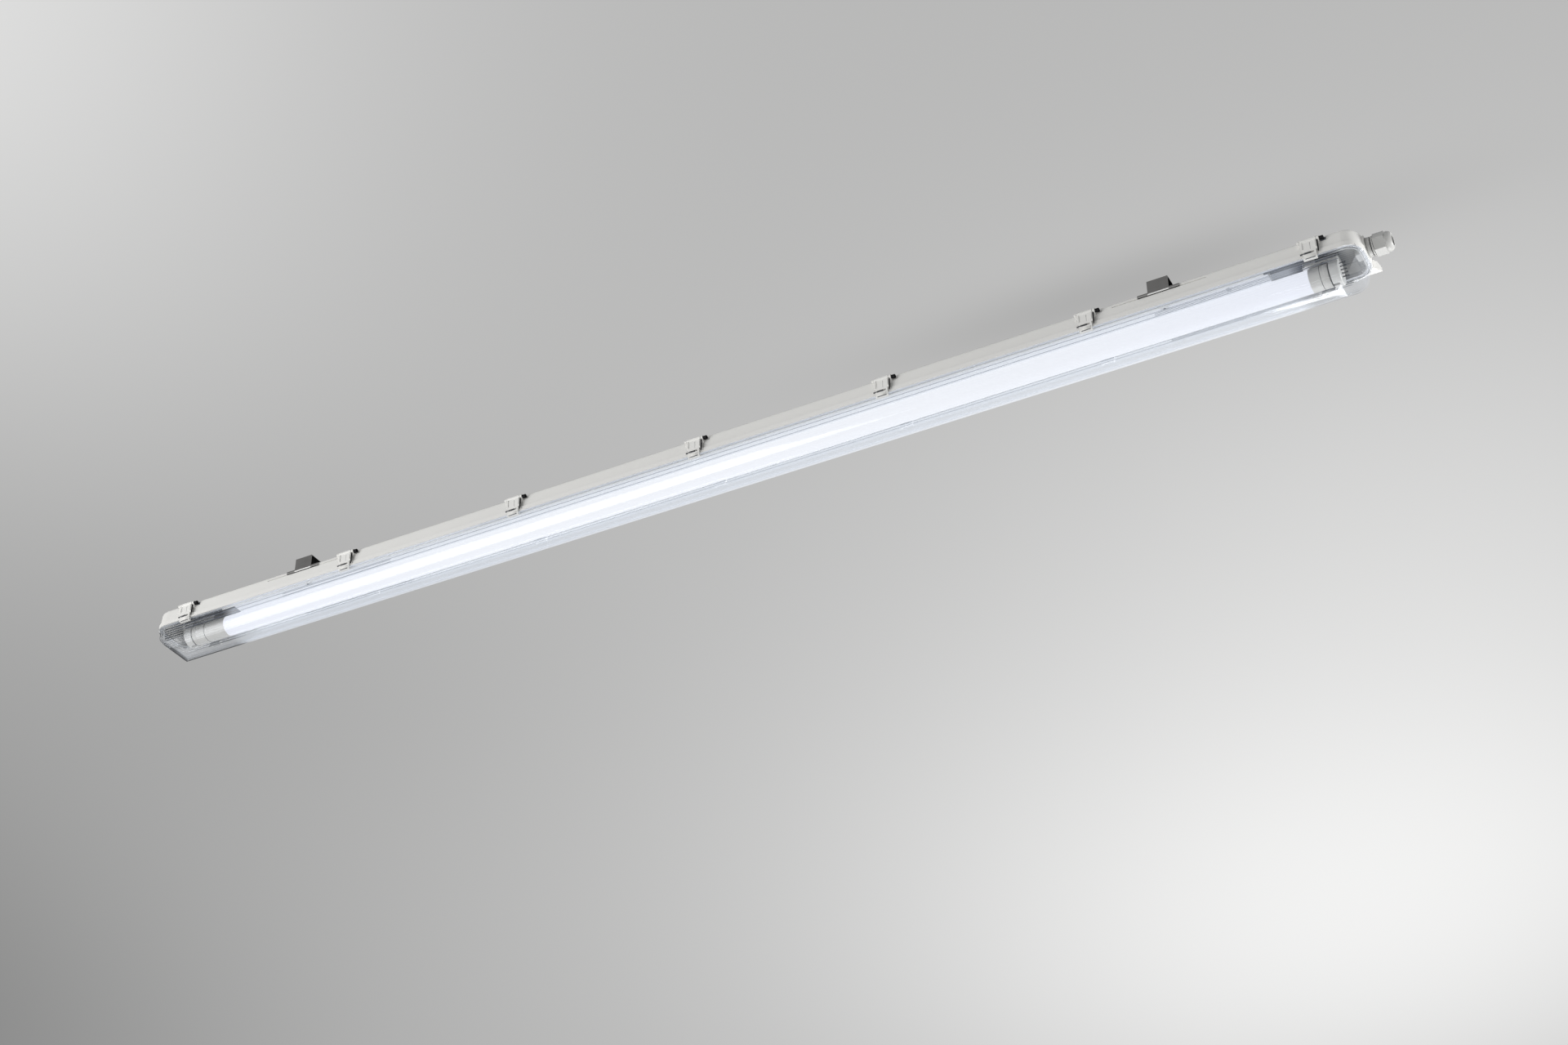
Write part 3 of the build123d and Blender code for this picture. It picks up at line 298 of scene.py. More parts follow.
@dataclass(frozen=True)
class Moulding(Finish):
    """Moulded plastic: faint flow marks, a fine spark-eroded grain and uneven gloss.

    Attributes:
        grain: features of the grain to the metre.
        grain_depth: its depth in metres.
        flow: how much the colour wanders.
        gloss_drift: how much the roughness wanders.
    """

    grain: float = 2600.0
    grain_depth: float = 0.00004
    flow: float = 0.05
    gloss_drift: float = 0.12

    def paint(self, tree: MaterialTree) -> Value:
        """The colour with its flow marks."""
        flow = tree.noise(scale=14, detail=3, stretch=(0.35, 1, 1))
        return tree.blend(flow, self.tone(1 - self.flow), self.tone(1 + self.flow))

    def nodes(self, tree: MaterialTree) -> object:
        grain = tree.noise(self.grain, detail=1)
        gloss = self.uneven(tree.noise(scale=60), self.gloss_drift)
        return tree.principled(self.paint(tree), gloss, tree.bump(grain, self.grain_depth, strength=0.5))


@dataclass(frozen=True)
class HousingMoulding(Moulding):
    """The housing's plastic, with painted shade inside its two unlit ends: stripes of painted shade and
    light where shaded ribs show.

    Attributes:
        inner_start, inner_end: distances from the middle between which the painted shade of the ribs
            lies.
        lean: how far the end walls lean outwards to the metre of height.
        pale_start, pale_span: where the painted shade of the ribs fades, and over what length.
        pale_share: how much it fades.
        inner_side, inner_top: half width and height of the inside.
        rib_pitch: step of the ribs.
        rib_painted_shade, rib_painted_light: painted shade and painted light on the ribs' flanks.
    """

    inner_start: float = 0.688
    inner_end: float = 0.778
    lean: float = 0.478
    pale_start: float = 0.758
    pale_span: float = 0.014
    pale_share: float = 0.5
    inner_side: float = 26.4 * MM
    inner_top: float = -14.2 * MM
    rib_pitch: float = 3.2 * MM
    rib_painted_shade: Colour = shade(44, 48, 56)
    rib_painted_light: Colour = shade(132, 138, 148)

    def paint(self, tree: MaterialTree) -> Value:
        """The colour with its flow marks, and the painted shade of the ribs where they lie."""
        # Painted shade: dark and light stripes inside the two unlit ends, weaker near the end walls.
        across, height = tree.axis("Y"), tree.axis("Z")
        away = (tree.axis("X") - MIDDLE).size()
        depth = self.inner_top - height
        along = away.above(self.inner_start) * (depth * self.lean + self.inner_end - away).above(0.0)
        within = (1.0 - across.size().above(self.inner_side)) * depth.above(0.0)
        pale = ((away - self.pale_start) / self.pale_span).share()
        wave = ((across - height) * (2 * math.pi / self.rib_pitch)).sine() * 0.5 + 0.5
        ribs = tree.blend(wave, self.rib_painted_shade, self.rib_painted_light)
        return tree.blend(along * within * (1.0 - pale * self.pale_share), super().paint(tree), ribs)


@dataclass(frozen=True)
class FoamRubber(Finish):
    """Foamed gasket cord with open pores in its skin.

    Attributes:
        pore: pores to the metre.
        rise: how steeply a pore rises from its middle.
        deep: factor on the colour in the middle of a pore, which paints shade in the pore.
    """

    pore: float = 900.0
    rise: float = 2.2
    deep: float = 0.72

    def nodes(self, tree: MaterialTree) -> object:
        cells = tree.value("ShaderNodeTexVoronoi", {"Vector": tree.place, "Scale": self.pore})
        skin = (cells * self.rise).share()
        # Painted shade: darker towards the middle of each pore.
        colour = tree.blend(skin, self.tone(self.deep), self.colour)
        normal = tree.bump(skin, depth=0.0002, strength=0.6)
        return tree.principled(colour, self.uneven(skin, drift=-0.1), normal)


@dataclass(frozen=True)
class Rubber(Finish):
    """Solid rubber with a dusty bloom."""

    def nodes(self, tree: MaterialTree) -> object:
        bloom, skin = tree.noise(scale=180, detail=4), tree.noise(scale=1500)
        colour = tree.blend(bloom, self.colour, self.tone(factor=1.7, lift=0.02))
        normal = tree.bump(skin, depth=0.00005, strength=0.4)
        return tree.principled(colour, self.uneven(bloom, drift=0.2), normal)


@dataclass(frozen=True)
class RolledMetal(Finish):
    """Rolled or drawn metal, with fine lines along its grain and handling marks.

    Attributes:
        grain: stretch of the lines on the three axes, small along the grain.
        streak: how much the lines darken the metal.
        marks: handling marks to the metre.
    """

    grain: Point = (1, 1, 1)
    streak: float = 0.22
    marks: float = 110

    def skin(self, tree: MaterialTree, lines: Value, marks: Value) -> tuple[Value, object]:
        """The colour, and how much of a metal it is."""
        return tree.blend(lines, self.tone(1 - self.streak), self.colour), 1.0

    def nodes(self, tree: MaterialTree) -> object:
        lines = tree.noise(scale=2400, detail=3, stretch=self.grain)
        marks = tree.noise(self.marks, detail=4)
        colour, metal = self.skin(tree, lines, marks)
        gloss = self.uneven((lines + marks) * 0.5, drift=0.24)
        normal = tree.bump(lines, depth=0.00002, strength=0.35)
        return tree.principled(colour, gloss, normal, metallic=metal)


@dataclass(frozen=True)
class BracketSteel(RolledMetal):
    """Rolled strip, with painted shade on its inside and below its foot, and a painted highlight along
    the bend of its foot.

    Attributes:
        inside: side distance below which it has painted shade.
        bend_low, bend_high: heights between which the painted highlight of the foot's bend lies, with
            painted shade below.
        place, half_width: distance of the plates from the origin, and half their width.
        edge_drop: how much weaker the painted highlight is beside the plates.
        inside_shade, bright: colours of the painted shade and of the painted highlight on the bend.
    """

    grain: Point = (0.02, 1, 1)
    streak: float = 0.38
    marks: float = 70
    inside: float = 27.9 * MM
    bend_low: float = -19.2 * MM
    bend_high: float = -17.3 * MM
    place: float = 567.5 * MM
    half_width: float = 12.2 * MM
    edge_drop: float = 0.75
    inside_shade: Colour = (0.012, 0.012, 0.013)
    bright: Colour = (0.86, 0.86, 0.85)

    def skin(self, tree: MaterialTree, lines: Value, marks: Value) -> tuple[Value, object]:
        # Painted shade on the inside and below the bend; a painted highlight, white and not metal, along
        # the bend.
        level = tree.axis("Z")
        shaded_inside = 1.0 - tree.axis("Y").size().above(self.inside)
        below = 1.0 - level.above(self.bend_low)
        beside = (tree.axis("X").size() - self.place).size().above(self.half_width)
        bend = level.above(self.bend_low) * (1.0 - level.above(self.bend_high)) * (1.0 - shaded_inside)
        bend = bend * (1.0 - beside * self.edge_drop)
        plain, _ = super().skin(tree, (lines + marks) * 0.5, marks)
        return tree.blend(bend, tree.blend(shaded_inside.most(below), plain, self.inside_shade), self.bright), 1.0 - bend


@dataclass(frozen=True)
class Enamel(Finish):
    """Baked white coating on sheet steel, with a faint orange-peel skin."""

    def nodes(self, tree: MaterialTree) -> object:
        peel, drift = tree.noise(scale=420), tree.noise(scale=9, stretch=(0.3, 1, 1))
        colour = tree.blend(drift, self.tone(0.95), self.colour)
        normal = tree.bump(peel, depth=0.00006, strength=0.5)
        gloss = self.uneven(peel, drift=0.08)
        return tree.principled(colour, gloss, normal, coat_weight=0.35, coat_roughness=0.12)


@dataclass(frozen=True)
class ClearMoulding(Finish):
    """Clear moulded cover: see-through face on, hazy with a painted glow where the lamp lights it,
    bright at a slant.

    Attributes:
        pass_through: colour of what is seen through it.
        let_in: colour of the outside light that gets in through its prisms.
        glow: colour of the painted glow that the cover emits for the lamp's light in its prisms.
        least, most: how much of it shows face on and at a slant.
        slant_power: how suddenly it shows more towards a slant.
        haze: what the lit stretch shows more of its shine and painted glow, face on.
        upper_haze, upper_level, rim_level: what the sides show more, between two heights.
        under_haze, under_level: what the bottom shows more, below a height.
        under_gloss: how much more of its shine the bottom shows.
        level_fade: height over which these get full.
        veil: share of its shine that is pale haze instead of mirror.
        middle, reach, fade: X and half length of the lit stretch, and how softly it ends.
        edge_start, edge_span: slant at which its bare ends get painted dark edges, and how softly.
        edge_shade: colour of the painted shade seen through these edges.
        edge_drop: how much weaker they are at the gland's end.
        edge_dull: how much less of its shine they show.
    """

    pass_through: Colour = (0.985, 0.988, 0.992)
    let_in: Colour = (0.79, 0.8, 0.81)
    glow: Colour = (0.2, 0.22, 0.25)
    least: float = 0.04
    most: float = 0.85
    slant_power: float = 4.0
    haze: float = 0.03
    upper_haze: float = 0.16
    upper_level: float = -51 * MM
    rim_level: float = -41.5 * MM
    under_haze: float = 0.06
    under_gloss: float = 0.07
    under_level: float = -67 * MM
    level_fade: float = 3 * MM
    veil: float = 0.55
    middle: float = 0.017
    reach: float = 0.707
    fade: float = 0.015
    edge_start: float = 0.7
    edge_span: float = 0.12
    edge_shade: Colour = (0.1, 0.11, 0.12)
    edge_drop: float = 0.7
    edge_dull: float = 0.8

    def nodes(self, tree: MaterialTree) -> object:
        normal = tree.bump(tree.noise(scale=30, stretch=(0.12, 1, 1)), depth=0.0001, strength=0.15)
        slant = tree.value("ShaderNodeLayerWeight", {"Blend": 0.5, "Normal": normal}, "Facing")
        along, level = tree.axis("X"), tree.axis("Z")
        # The lit stretch, where the cover emits the painted glow.
        lit = ((along - self.middle).size() * (-1 / self.fade) + self.reach / self.fade).share()
        shine = tree.principled(
            self.colour, self.roughness, normal, metallic=1 - self.veil,
            emission_color=tree.blend(lit, (0, 0, 0), self.glow), emission_strength=1.0,
        )
        # Painted shade: dark edges where the bare ends are seen at a slant.
        edge = ((slant - self.edge_start) / self.edge_span).share() * (1.0 - lit)
        edge = edge * (1.0 - along.above(0.0) * self.edge_drop)
        seen = tree.blend(edge, self.pass_through, self.edge_shade)
        shadow_ray = tree.value("ShaderNodeLightPath", output="Is Shadow Ray")
        clear = tree.clear(tree.blend(shadow_ray, seen, self.let_in))
        upper = ((level - self.upper_level) / self.level_fade).share()
        upper = upper * (1.0 - level.above(self.rim_level))
        under = ((self.under_level - level) / self.level_fade).share()
        hazy = upper * self.upper_haze + under * self.under_haze + self.haze
        gloss = slant ** self.slant_power * (self.most - self.least) * (1.0 - edge * self.edge_dull)
        return tree.mixed(gloss + lit * hazy + under * self.under_gloss + self.least, clear, shine)


@dataclass(frozen=True)
class PrismEdge(Finish):
    """Line where two prisms meet: a fine half-clear band of uneven strength; the prisms are real, the
    band's colour is painted shade.

    Attributes:
        share: how much of it shows in the mean.
        drift: how much that wanders.
    """

    share: float = 0.6
    drift: float = 0.2

    def nodes(self, tree: MaterialTree) -> object:
        waver = tree.noise(scale=90, stretch=(0.05, 1, 1))
        band = tree.principled(tree.blend(waver, self.tone(0.8), self.colour), self.roughness)
        return tree.mixed(waver * self.drift + (self.share - self.drift / 2), tree.clear(), band)


@dataclass(frozen=True)
class LitTube(Finish):
    """Coated glass of the lit lamp: even white light, cooler towards its two ends.

    Attributes:
        glow, end_glow: colours of the light at the middle and near the ends.
        strength: its strength.
        middle, reach: X of the middle, and the distance from there to the ends.
        fall: how suddenly the colour turns towards the ends.
    """

    glow: Colour = (0.93, 0.945, 0.985)
    end_glow: Colour = (0.86, 0.885, 0.97)
    strength: float = 0.92
    middle: float = 0.0065
    reach: float = 0.72
    fall: float = 3.0

    def nodes(self, tree: MaterialTree) -> object:
        away = (((tree.axis("X") - self.middle).size() / self.reach) ** self.fall).share()
        ripple = tree.noise(scale=45, stretch=(0.1, 1, 1))
        return tree.principled(
            self.colour, self.uneven(ripple, drift=0.06),
            emission_color=tree.blend(away, self.glow, self.end_glow), emission_strength=self.strength,
        )


@dataclass(frozen=True)
class Phosphor(Finish):
    """Yellow phosphor of the light packages, with a pale housing round it."""

    def nodes(self, tree: MaterialTree) -> object:
        speck = tree.noise(scale=5200)
        colour = tree.blend(speck, self.colour, self.tone(factor=0.4, lift=0.55))
        return tree.principled(colour, self.uneven(speck, drift=0.2))


@dataclass(frozen=True)
class SolderMask(Finish):
    """Printed board: glossy mask over faint copper tracks.

    Attributes:
        track: tracks to the metre.
        track_share: the height of the wave above which a track lies.
    """

    track: float = 520.0
    track_share: float = 0.7

    def nodes(self, tree: MaterialTree) -> object:
        sockets = {"Vector": tree.place, "Scale": self.track, "Distortion": 1.5, "Detail": 1.0}
        lanes = tree.value("ShaderNodeTexWave", sockets, bands_direction="Y")
        track = lanes.above(self.track_share)
        colour = tree.blend(track, self.colour, self.tone(0.8))
        normal = tree.bump(track, depth=0.00003, strength=0.5)
        return tree.principled(colour, self.uneven(track, drift=0.1), normal)


@dataclass(frozen=True)
class Sheath(Finish):
    """Soft coloured insulation of a wire, slightly uneven."""

    def nodes(self, tree: MaterialTree) -> object:
        skin = tree.noise(scale=300, stretch=(0.2, 1, 1))
        colour = tree.blend(skin, self.tone(0.82), self.colour)
        normal = tree.bump(skin, depth=0.00006, strength=0.5)
        return tree.principled(colour, self.uneven(skin, drift=0.15), normal)


@dataclass(frozen=True)
class StripedSheath(Sheath):
    """Green insulation with the yellow stripes of an earth wire.

    Attributes:
        stripe: colour of the stripes.
        around, along: how fast the stripes follow each other across and along the fixture.
        start: the height of the wave above which a stripe lies.
    """

    stripe: Colour = shade(214, 190, 40)
    around: float = 1400.0
    along: float = 260.0
    start: float = 0.25

    def nodes(self, tree: MaterialTree) -> object:
        wave = (tree.axis("Y") * self.around + tree.axis("X") * self.along).sine()
        stripe = wave.above(self.start)
        colour = tree.blend(stripe, self.colour, self.stripe)
        return tree.principled(colour, self.uneven(stripe, drift=0.04))


HOUSING_GREY = HousingMoulding("housing_moulding", shade(230, 229, 226), 0.42)
CLIP_GREY = Moulding("clip_moulding", shade(232, 231, 228), 0.36, 3200.0, 0.00003)
GLAND_GREY = Moulding("gland_moulding", shade(184, 184, 182), 0.38, 3000.0, 0.00003)
HOLDER_WHITE = Moulding("holder_moulding", shade(226, 225, 222), 0.3, 3600.0, 0.00002)
CAP_GREY = Moulding("cap_moulding", shade(222, 220, 216), 0.32, 3400.0, 0.00002)
ROTOR_DARK = Moulding("rotor_moulding", shade(58, 60, 64), 0.35, 3400.0, 0.00002, 0.1)
# Near black, dark enough to also paint the shade in the gland's mouth.
CAGE_BLACK = Moulding("cage_moulding", shade(20, 21, 23), 0.5, 3400.0, 0.00002, 0.1)
TERMINAL_WHITE = Moulding("terminal_moulding", shade(232, 232, 226), 0.38, 3000.0, 0.00003)
LATCH_WHITE = Moulding("latch_moulding", shade(232, 233, 232), 0.3, 3600.0, 0.00002)
# Finishes of painted shade on the clips: dark bars and a grey shadow line.
SHADE_BAR_DARK = Moulding("shaded_slot", shade(72, 73, 78), 0.6)
SHADE_LINE_GREY = Moulding("shaded_groove", shade(168, 168, 168), 0.5)
GASKET_FOAM = FoamRubber("gasket_foam_skin", shade(238, 239, 242), 0.9)
SEAL_RUBBER = Rubber("seal_rubber_skin", shade(44, 44, 46), 0.7)
SEAL_GREY = Rubber("grey_seal_skin", shade(128, 128, 126), 0.6)
# Black of painted shade, for the gaps at the lamp's caps and the slots in the latches' knobs.
SHADE_BLACK = Rubber("black_joint_rubber", shade(12, 12, 13), 0.7)
STRIP_STEEL = BracketSteel("rolled_strip_steel", shade(156, 155, 154), 0.34)
# Dark spring steel; the spring legs and coils made of it also paint the shade beside the clips and in
# their recesses.
SPRING_STEEL = RolledMetal("dark_spring_steel", shade(52, 52, 54), 0.4)
DRAWN_STEEL = RolledMetal("drawn_pin_steel", shade(150, 149, 147), 0.34, (0.02, 1, 1))
ZINC_STEEL = RolledMetal("zinc_screw_steel", shade(186, 188, 190), 0.36, streak=0.15)
CONTACT_BRASS = RolledMetal("contact_brass_metal", shade(214, 184, 118), 0.3, (0.05, 1, 1), 0.15)
TRAY_WHITE = Enamel("tray_enamel", shade(243, 245, 247), 0.34)
COVER_CLEAR = ClearMoulding("clear_cover_moulding", (0.86, 0.89, 0.94), 0.06)
# Lines of painted shade on the cover: at the prism edges, and over the unlit ends.
PRISM_LINE = PrismEdge("prism_edge_line", shade(116, 124, 142), 0.3)
PRISM_SHADE = PrismEdge("shaded_prism_line", shade(84, 94, 118), 0.3, 0.62)
PRISM_BAND_SHADE = PrismEdge("dark_prism_band", shade(40, 46, 56), 0.3, 0.62)
TUBE_LIT = LitTube("lit_tube_glass", (0.05, 0.05, 0.055), 0.5)
BOARD_WHITE = SolderMask("white_board_mask", shade(236, 236, 234), 0.4)
BOARD_GREEN = SolderMask("green_board_mask", shade(38, 104, 62), 0.35)
PACKAGE_YELLOW = Phosphor("package_phosphor", shade(238, 214, 96), 0.5)
WIRE_BROWN = Sheath("brown_sheath", shade(58, 42, 34), 0.455)
WIRE_BLUE = Sheath("blue_sheath", shade(34, 52, 96), 0.455)
WIRE_EARTH = StripedSheath("earth_sheath", shade(54, 128, 58), 0.47)


class GeometryTree(NodeTree):
    """A geometry tree with named inputs, which bakes its result into a plain piece."""

    def __init__(self, name: str) -> None:
        super().__init__(bpy.data.node_groups.new(name, "GeometryNodeTree"))
        self.sockets: dict[str, str] = {}
        self.tree.interface.new_socket("Geometry", in_out="OUTPUT", socket_type="NodeSocketGeometry")
        self._input("Geometry", "Geometry")
        self._input("Finish", "Material")
        self.start = self.tree.nodes.new("NodeGroupInput")

    def _input(self, name: str, kind: str) -> None:
        """Adds a named input of a kind."""
        socket = self.tree.interface.new_socket(name, in_out="INPUT", socket_type=f"NodeSocket{kind}")
        self.sockets[name] = socket.identifier

    def size(self, name: str, kind: str = "Float") -> Value:
        """Adds a named size input, a Float, Int or Vector, and gives its value."""
        self._input(name, kind)
        return Value(self, self.start.outputs[name])

    def given(self) -> Value:
        """The geometry that the modifier's object brings."""
        return Value(self, self.start.outputs["Geometry"])

    def row(self, start: Value, step: Value, count: Value) -> Value:
        """Points in a straight row."""
        sockets = {"Start Location": start, "Offset": step, "Count": count}
        return self.value("GeometryNodeMeshLine", sockets, mode="OFFSET")

    def bar(self, sides: int, radius: object, length: Value) -> Value:
        """An upright bar with closed ends."""
        sockets = {"Vertices": sides, "Radius": radius, "Depth": length}
        return self.value("GeometryNodeMeshCylinder", sockets, fill_type="NGON")

    def hoop(self, radius: Value, steps: int) -> Value:
        """A circle as a curve."""
        return self.value("GeometryNodeCurvePrimitiveCircle", {"Resolution": steps, "Radius": radius})

    def rounded(self, width: Value, height: Value, corner: Value, steps: int) -> Value:
        """A rectangle with rounded corners as a curve."""
        loop = self.value("GeometryNodeCurvePrimitiveQuadrilateral", {"Width": width, "Height": height})
        sockets = {"Curve": loop, "Radius": corner, "Count": steps}
        return self.value("GeometryNodeFilletCurve", sockets, mode="POLY")

    def moved(self, geometry: Value, **sockets: object) -> Value:
        """A geometry with the Translation, Rotation or Scale that is given."""
        return self.value("GeometryNodeTransform", {"Geometry": geometry, **sockets})

    def swept(self, curve: Value, section: Value, closed: bool = False) -> Value:
        """A section drawn along a curve."""
        sockets = {"Curve": curve, "Profile Curve": section, "Fill Caps": closed}
        return self.value("GeometryNodeCurveToMesh", sockets)

    def repeated(self, points: object, piece: Value, **sockets: object) -> Value:
        """A piece on each of some points."""
        sockets = {"Points": points, "Instance": piece, **sockets}
        return self.value("GeometryNodeInstanceOnPoints", sockets)

    def close(self, geometry: Value) -> None:
        """Ends the tree: makes instances real, shades them smooth and gives them the finish."""
        real = self.value("GeometryNodeRealizeInstances", {"Geometry": geometry})
        smooth = self.value("GeometryNodeSetShadeSmooth", {"Geometry": real, "Shade Smooth": True})
        finish = self.start.outputs["Finish"]
        dressed = self.value("GeometryNodeSetMaterial", {"Geometry": smooth, "Material": finish})
        self.add("NodeGroupOutput", {"Geometry": dressed})

    def bake(
        self, name: str, finish: Finish, sizes: dict[str, object], source: bpy.types.ID | None = None
    ) -> bpy.types.Object:
        """Runs the tree once and keeps its result as a plain mesh piece.

        Args:
            name: the piece's name.
            finish: its finish.
            sizes: values of the named inputs.
            source: the mesh that the tree starts from.

        Returns:
            The finished piece.
        """
        seed = stand(f"{name}_seed", source or bpy.data.meshes.new(f"{name}_seed"))
        modifier = seed.modifiers.new("Repeat", "NODES")
        modifier.node_group = self.tree
        for size_name, given in {**sizes, "Finish": finish.material()}.items():
            modifier[self.sockets[size_name]] = given
        graph = bpy.context.evaluated_depsgraph_get()
        mesh = bpy.data.meshes.new_from_object(seed.evaluated_get(graph))
        seed.modifiers.clear()
        bpy.data.objects.remove(seed)
        mesh.name = name
        return stand(name, mesh)


class BarRow(GeometryTree):
    """Round bars of one length, repeated along a step: grips, ribs and slots."""

    def __init__(self) -> None:
        super().__init__("bar_row")
        start, step = self.size("Start", "Vector"), self.size("Step", "Vector")
        count, length = self.size("Count", "Int"), self.size("Length")
        section, turn = self.size("Section", "Vector"), self.size("Turn", "Vector")
        shaped = self.moved(self.bar(sides=12, radius=1.0, length=length), Scale=section)
        self.close(self.repeated(self.row(start, step, count), self.moved(shaped, Rotation=turn)))

    def lay(
        self,
        name: str,
        finish: Finish,
        start: Point,
        size: tuple[float, float, float],
        turn: Point = UPRIGHT,
        step: Point = (0, 0, 0),
        count: int = 1,
    ) -> bpy.types.Object:
        """Bakes a row of bars.

        Args:
            name, finish: name and finish of the piece.
            start: middle of the first bar.
            size: length of a bar, and half its width and thickness.
            turn: how the bars lie.
            step, count: the way from one bar to the next, and their number.

        Returns:
            The piece.
        """
        length, wide, thick = size
        return self.bake(name, finish, {
            "Start": start, "Step": step, "Count": count,
            "Length": length, "Section": (wide, thick, 1), "Turn": turn,
        })


class Knurl(GeometryTree):
    """Bars along X, set round a circle: the grip of a turned or turning part."""

    def __init__(self) -> None:
        super().__init__("knurl")
        centre, count = self.size("Centre", "Vector"), self.size("Count", "Int")
        radius, length = self.size("Radius"), self.size("Length")
        thickness = self.size("Thickness")
        ring = self.value("GeometryNodeMeshCircle", {"Vertices": count, "Radius": radius})
        placed = self.moved(ring, Translation=centre, Rotation=ALONG_X)
        bar = self.bar(sides=8, radius=thickness, length=length)
        self.close(self.repeated(placed, self.moved(bar, Rotation=ALONG_X)))


class RingRow(GeometryTree):
    """Round rings about a line along X: black rings of painted shade at the caps, and the rings of a
    neck.
    """

    def __init__(self) -> None:
        super().__init__("ring_row")
        start, pitch = self.size("Start", "Vector"), self.size("Pitch")
        count, radius = self.size("Count", "Int"), self.size("Radius")
        thickness = self.size("Thickness")
        step = self.value("ShaderNodeCombineXYZ", {"X": pitch})
        ring = self.swept(self.hoop(radius, steps=48), self.hoop(thickness, steps=8))
        self.close(self.repeated(self.row(start, step, count), self.moved(ring, Rotation=ALONG_X)))


class RimCord(GeometryTree):
    """A cord of flattened section that follows a rounded rectangle: the gasket in its groove."""

    CORNER_SHARE = 0.35

    def __init__(self) -> None:
        super().__init__("rim_cord")
        length, width = self.size("Length"), self.size("Width")
        corner, place = self.size("Corner"), self.size("Place", "Vector")
        cord_width, cord_height = self.size("Cord width"), self.size("Cord height")
        route = self.moved(self.rounded(length, width, corner, steps=14), Translation=place)
        level = self.value("GeometryNodeSetCurveNormal", {"Curve": route}, mode="Z_UP")
        section = self.rounded(cord_width, cord_height, cord_height * self.CORNER_SHARE, steps=4)
        self.close(self.swept(level, section))


class SectionLines(GeometryTree):
    """Fine lines along X, set at even steps along the cross-section that it is given."""

    def __init__(self) -> None:
        super().__init__("section_lines")
        count, length = self.size("Count", "Int"), self.size("Length")
        width, thickness = self.size("Width"), self.size("Thickness")
        route = self.value("GeometryNodeMeshToCurve", {"Mesh": self.given()})
        sockets = {"Curve": route, "Count": count}
        steps = self.add("GeometryNodeCurveToPoints", sockets, mode="COUNT").outputs
        section = self.value("ShaderNodeCombineXYZ", {"X": thickness, "Y": width, "Z": 1.0})
        shaped = self.moved(self.bar(sides=8, radius=0.5, length=length), Scale=section)
        sockets = {"Vector": steps["Tangent"]}
        lean = self.value("FunctionNodeAlignEulerToVector", sockets, axis="Y", pivot_axis="X")
        turned = self.moved(shaped, Rotation=ALONG_X)
        self.close(self.repeated(steps["Points"], turned, Rotation=lean))


class CoilSet(GeometryTree):
    """A short coil about a line along X at each point that it is given."""

    def __init__(self) -> None:
        super().__init__("coil_set")
        radius, length = self.size("Radius"), self.size("Length")
        turns, thickness = self.size("Turns"), self.size("Thickness")
        spiral = self.value("GeometryNodeCurveSpiral", {
            "Resolution": 20, "Rotations": turns, "Height": length,
            "Start Radius": radius, "End Radius": radius,
        })
        coil = self.swept(spiral, self.hoop(thickness, steps=8), closed=True)
        self.close(self.repeated(self.given(), self.moved(coil, Rotation=ALONG_X)))


@dataclass
class Trees:
    """The geometry trees, each built once."""

    bars: BarRow = field(default_factory=BarRow)
    knurl: Knurl = field(default_factory=Knurl)
    rings: RingRow = field(default_factory=RingRow)
    cord: RimCord = field(default_factory=RimCord)
    lines: SectionLines = field(default_factory=SectionLines)
    coils: CoilSet = field(default_factory=CoilSet)


def guide(name: str, points: list[Point], joined: bool = True) -> bpy.types.Mesh:
    """Points, or an open line through them, for a geometry tree to start from."""
    mesh = bpy.data.meshes.new(name)
    edges = [(i, i + 1) for i in range(len(points) - 1)] if joined else []
    mesh.from_pydata(points, edges, [])
    return mesh


def settle(piece: bpy.types.Object, body: str, slot: str, *replaced: str) -> None:
    """Puts a finished piece on its body.

    Args:
        piece: the piece.
        body: the CAD body that it moves with.
        slot: the record's material slot that it belongs to; not used.
        replaced: CAD nodes that it stands for.
    """
    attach(piece, body)
    if replaced:
        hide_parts(*replaced)
    log.info("%s: %d faces on %s", piece.name, len(piece.data.polygons), body)


